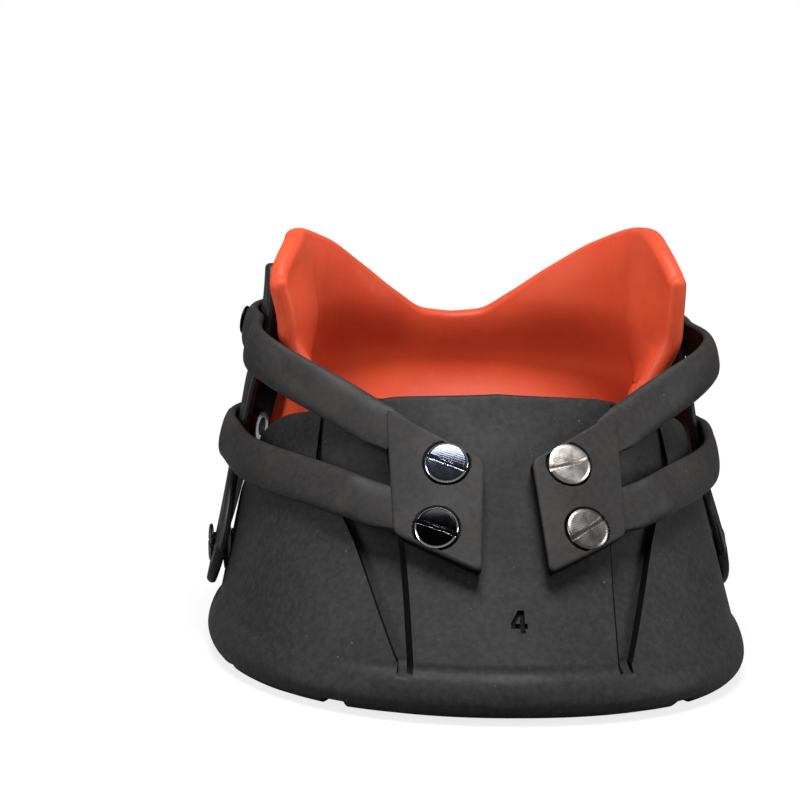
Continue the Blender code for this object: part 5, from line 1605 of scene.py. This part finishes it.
def end_columns(loop, thickness):
    """Columns that close a sheet's front edge with a round, its top corner dropping a little."""
    mates, high = mate_loop(loop), max(point.z for point in loop)
    columns = []
    for turn in np.linspace(0.0, END_TURN, END_COLUMNS)[1:]:
        shrink = math.cos(turn)
        column = []
        for point, mate in zip(loop, mates):
            near = max(1.0 - (high - point.z) / (END_ROUND * thickness), 0.0) ** 2
            drop = END_DROP * thickness * (1.0 - shrink) * near
            moved = Vector((0.0, -0.5 * thickness * math.sin(turn), -drop))
            column.append(0.5 * (point + mate) + (point - mate) * (0.5 * shrink) + moved)
        columns.append(column)
    return columns


def cuff_sheet(name, skin, bottom_of, top_of, thickness, pad_of, material):
    """Padded or plain curved sheet with rounded rims and front edges."""
    shares = np.linspace(-1.0, 1.0, CUFF_FINE_COLUMNS + 1)
    columns = [fine_column(skin, s, bottom_of(s), top_of(s), thickness, pad_of) for s in shares]
    columns = end_columns(columns[0], thickness)[::-1] + columns + end_columns(columns[-1], thickness)
    rings = np.array([[tuple(point) for point in column] for column in columns])
    return link_mesh(name, grid_mesh(name, rings), material, CUFF_SHARP_ANGLE)


def build_cuff():
    """Liner and wrap, with the wrap's seats for pivots and studs."""
    liner = cuff_sheet("liner", look_skin, liner_bottom, look_top, LINER_THICKNESS, liner_pad, liner_foam)
    wrap = cuff_sheet("wrap", wrap_skin, wrap_low, wrap_top, WRAP_THICKNESS, no_pad, wrap_rubber)
    for side in SIDES.values():
        place = pivot_place(side)
        cut_round(wrap, place, PIVOT_SHANK, -OVERRUN, 2.0 * OVERRUN)
        cut_round(wrap, place, PIVOT_WASHER, -OVERRUN, FLAP_INNER)
        cut_round(wrap, place, PIVOT_HEAD, FLAP_OUTER, FLAP_OUTER + OVERRUN)
        for place in stud_places(side).values():
            cut_round(wrap, place, STUD_SHANK, -OVERRUN, OVERRUN)
            cut_round(wrap, place, STUD_NUT, -OVERRUN, -0.5 * WRAP_THICKNESS)
    settle(wrap)
    return hand_over(liner, "heel_liner"), hand_over(wrap, "heel_wrap")


# Assembly

still = [build_shell()]
liner, wrap = build_cuff()
moving = [wrap]
for label, side in SIDES.items():
    strap = build_strap(label, side)
    fixed, swung = build_fasteners(label, side)
    still += fixed
    moving += swung
    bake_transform(strap)
for piece in still:
    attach(piece, "boot_shell")
for piece in moving + [liner]:
    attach(piece, "heel_cuff")


# Stage, light and camera

CAMERA_PLACE = (-0.127295, -0.760730, 0.206808)
CAMERA_TURN = (79.253, -2.170, -7.581)
CAMERA_LENS = 148.68
CAMERA_SENSOR = 36.0
CAMERA_NEAR = 0.01
FLOOR_BOUNCE = (0.22, 0.22, 0.22)
FLOOR_SEEN = (0.86, 0.86, 0.86)
FLOOR_GLOW_SHARE = 0.80
FLOOR_NEAR = 0.07
FLOOR_FAR = 0.30
FLOOR_HALF_SIZE = 3.0
FLOOR_DROP = 0.0002
SKY_COLOUR = (0.95, 0.97, 1.0, 1.0)
SKY_STRENGTH = 0.16
LIGHTS = (
    ("top", (-0.05, -0.22, 1.15), (0.0, 0.0, 0.0), (0.60, 0.50), 17.0),
    ("left", (-1.1, -0.35, 0.40), (0.0, 0.0, 0.04), (0.4, 0.6), 6.0),
    ("right", (1.1, -0.35, 0.40), (0.0, 0.0, 0.04), (0.4, 0.6), 6.0),
)


def area_light(name, place, target, size, power):
    """Soft rectangular light aimed at a place."""
    data = bpy.data.lights.new(name, "AREA")
    data.shape = "RECTANGLE"
    data.size, data.size_y = size
    data.energy = power
    item = new_object(name, data)
    item.location = place
    item.rotation_euler = (Vector(target) - Vector(place)).to_track_quat("-Z", "Y").to_euler()


def switched(tree, kind, share, first, second):
    """Output of a tree that mixes two shaders by a share."""
    mix = tree.nodes.new("ShaderNodeMixShader")
    out = tree.nodes.new(kind)
    tree.links.new(share, mix.inputs["Fac"])
    tree.links.new(first, mix.inputs[1])
    tree.links.new(second, mix.inputs[2])
    tree.links.new(mix.outputs["Shader"], out.inputs["Surface"])


def build_floor():
    """Pale floor that shows white to the camera but keeps a soft shadow."""
    material = bpy.data.materials.new("floor_look")
    material.use_nodes = True
    tree = material.node_tree
    tree.nodes.clear()
    matte = tree.nodes.new("ShaderNodeBsdfDiffuse")
    glow = tree.nodes.new("ShaderNodeEmission")
    seen = tree.nodes.new("ShaderNodeLightPath").outputs["Is Camera Ray"]
    tree.links.new(mixed(tree, seen, FLOOR_BOUNCE, FLOOR_SEEN), matte.inputs["Color"])
    away = tree.nodes.new("ShaderNodeVectorMath")
    away.operation = "LENGTH"
    tree.links.new(tree.nodes.new("ShaderNodeNewGeometry").outputs["Position"], away.inputs[0])
    near = ramp(tree, away.outputs["Value"], FLOOR_NEAR, FLOOR_FAR, FLOOR_GLOW_SHARE, 1.0)
    share = multiply(tree, near, seen)
    switched(tree, "ShaderNodeOutputMaterial", share, matte.outputs["BSDF"], glow.outputs["Emission"])
    edit = bmesh.new()
    bmesh.ops.create_grid(edit, x_segments=1, y_segments=1, size=FLOOR_HALF_SIZE)
    floor = link_mesh("floor", drawn_mesh("floor", edit), material)
    floor.location.z = -FLOOR_DROP


def build_world():
    """White to the camera, a soft grey sky for the rest."""
    world = bpy.data.worlds.new("studio")
    bpy.context.scene.world = world
    world.use_nodes = True
    tree = world.node_tree
    tree.nodes.clear()
    sky = tree.nodes.new("ShaderNodeBackground")
    sky.inputs["Color"].default_value = SKY_COLOUR
    sky.inputs["Strength"].default_value = SKY_STRENGTH
    white = tree.nodes.new("ShaderNodeBackground")
    seen = tree.nodes.new("ShaderNodeLightPath").outputs["Is Camera Ray"]
    switched(tree, "ShaderNodeOutputWorld", seen, sky.outputs["Background"], white.outputs["Background"])


def build_camera():
    """Camera at the photograph's viewing angle."""
    data = bpy.data.cameras.new("camera")
    data.lens = CAMERA_LENS
    data.sensor_width = CAMERA_SENSOR
    data.clip_start = CAMERA_NEAR
    item = new_object("camera", data)
    item.location = CAMERA_PLACE
    item.rotation_euler = [math.radians(part) for part in CAMERA_TURN]
    bpy.context.scene.camera = item


build_floor()
build_world()
build_camera()
bpy.context.scene.view_settings.view_transform = "Standard"
for light in LIGHTS:
    area_light(*light)
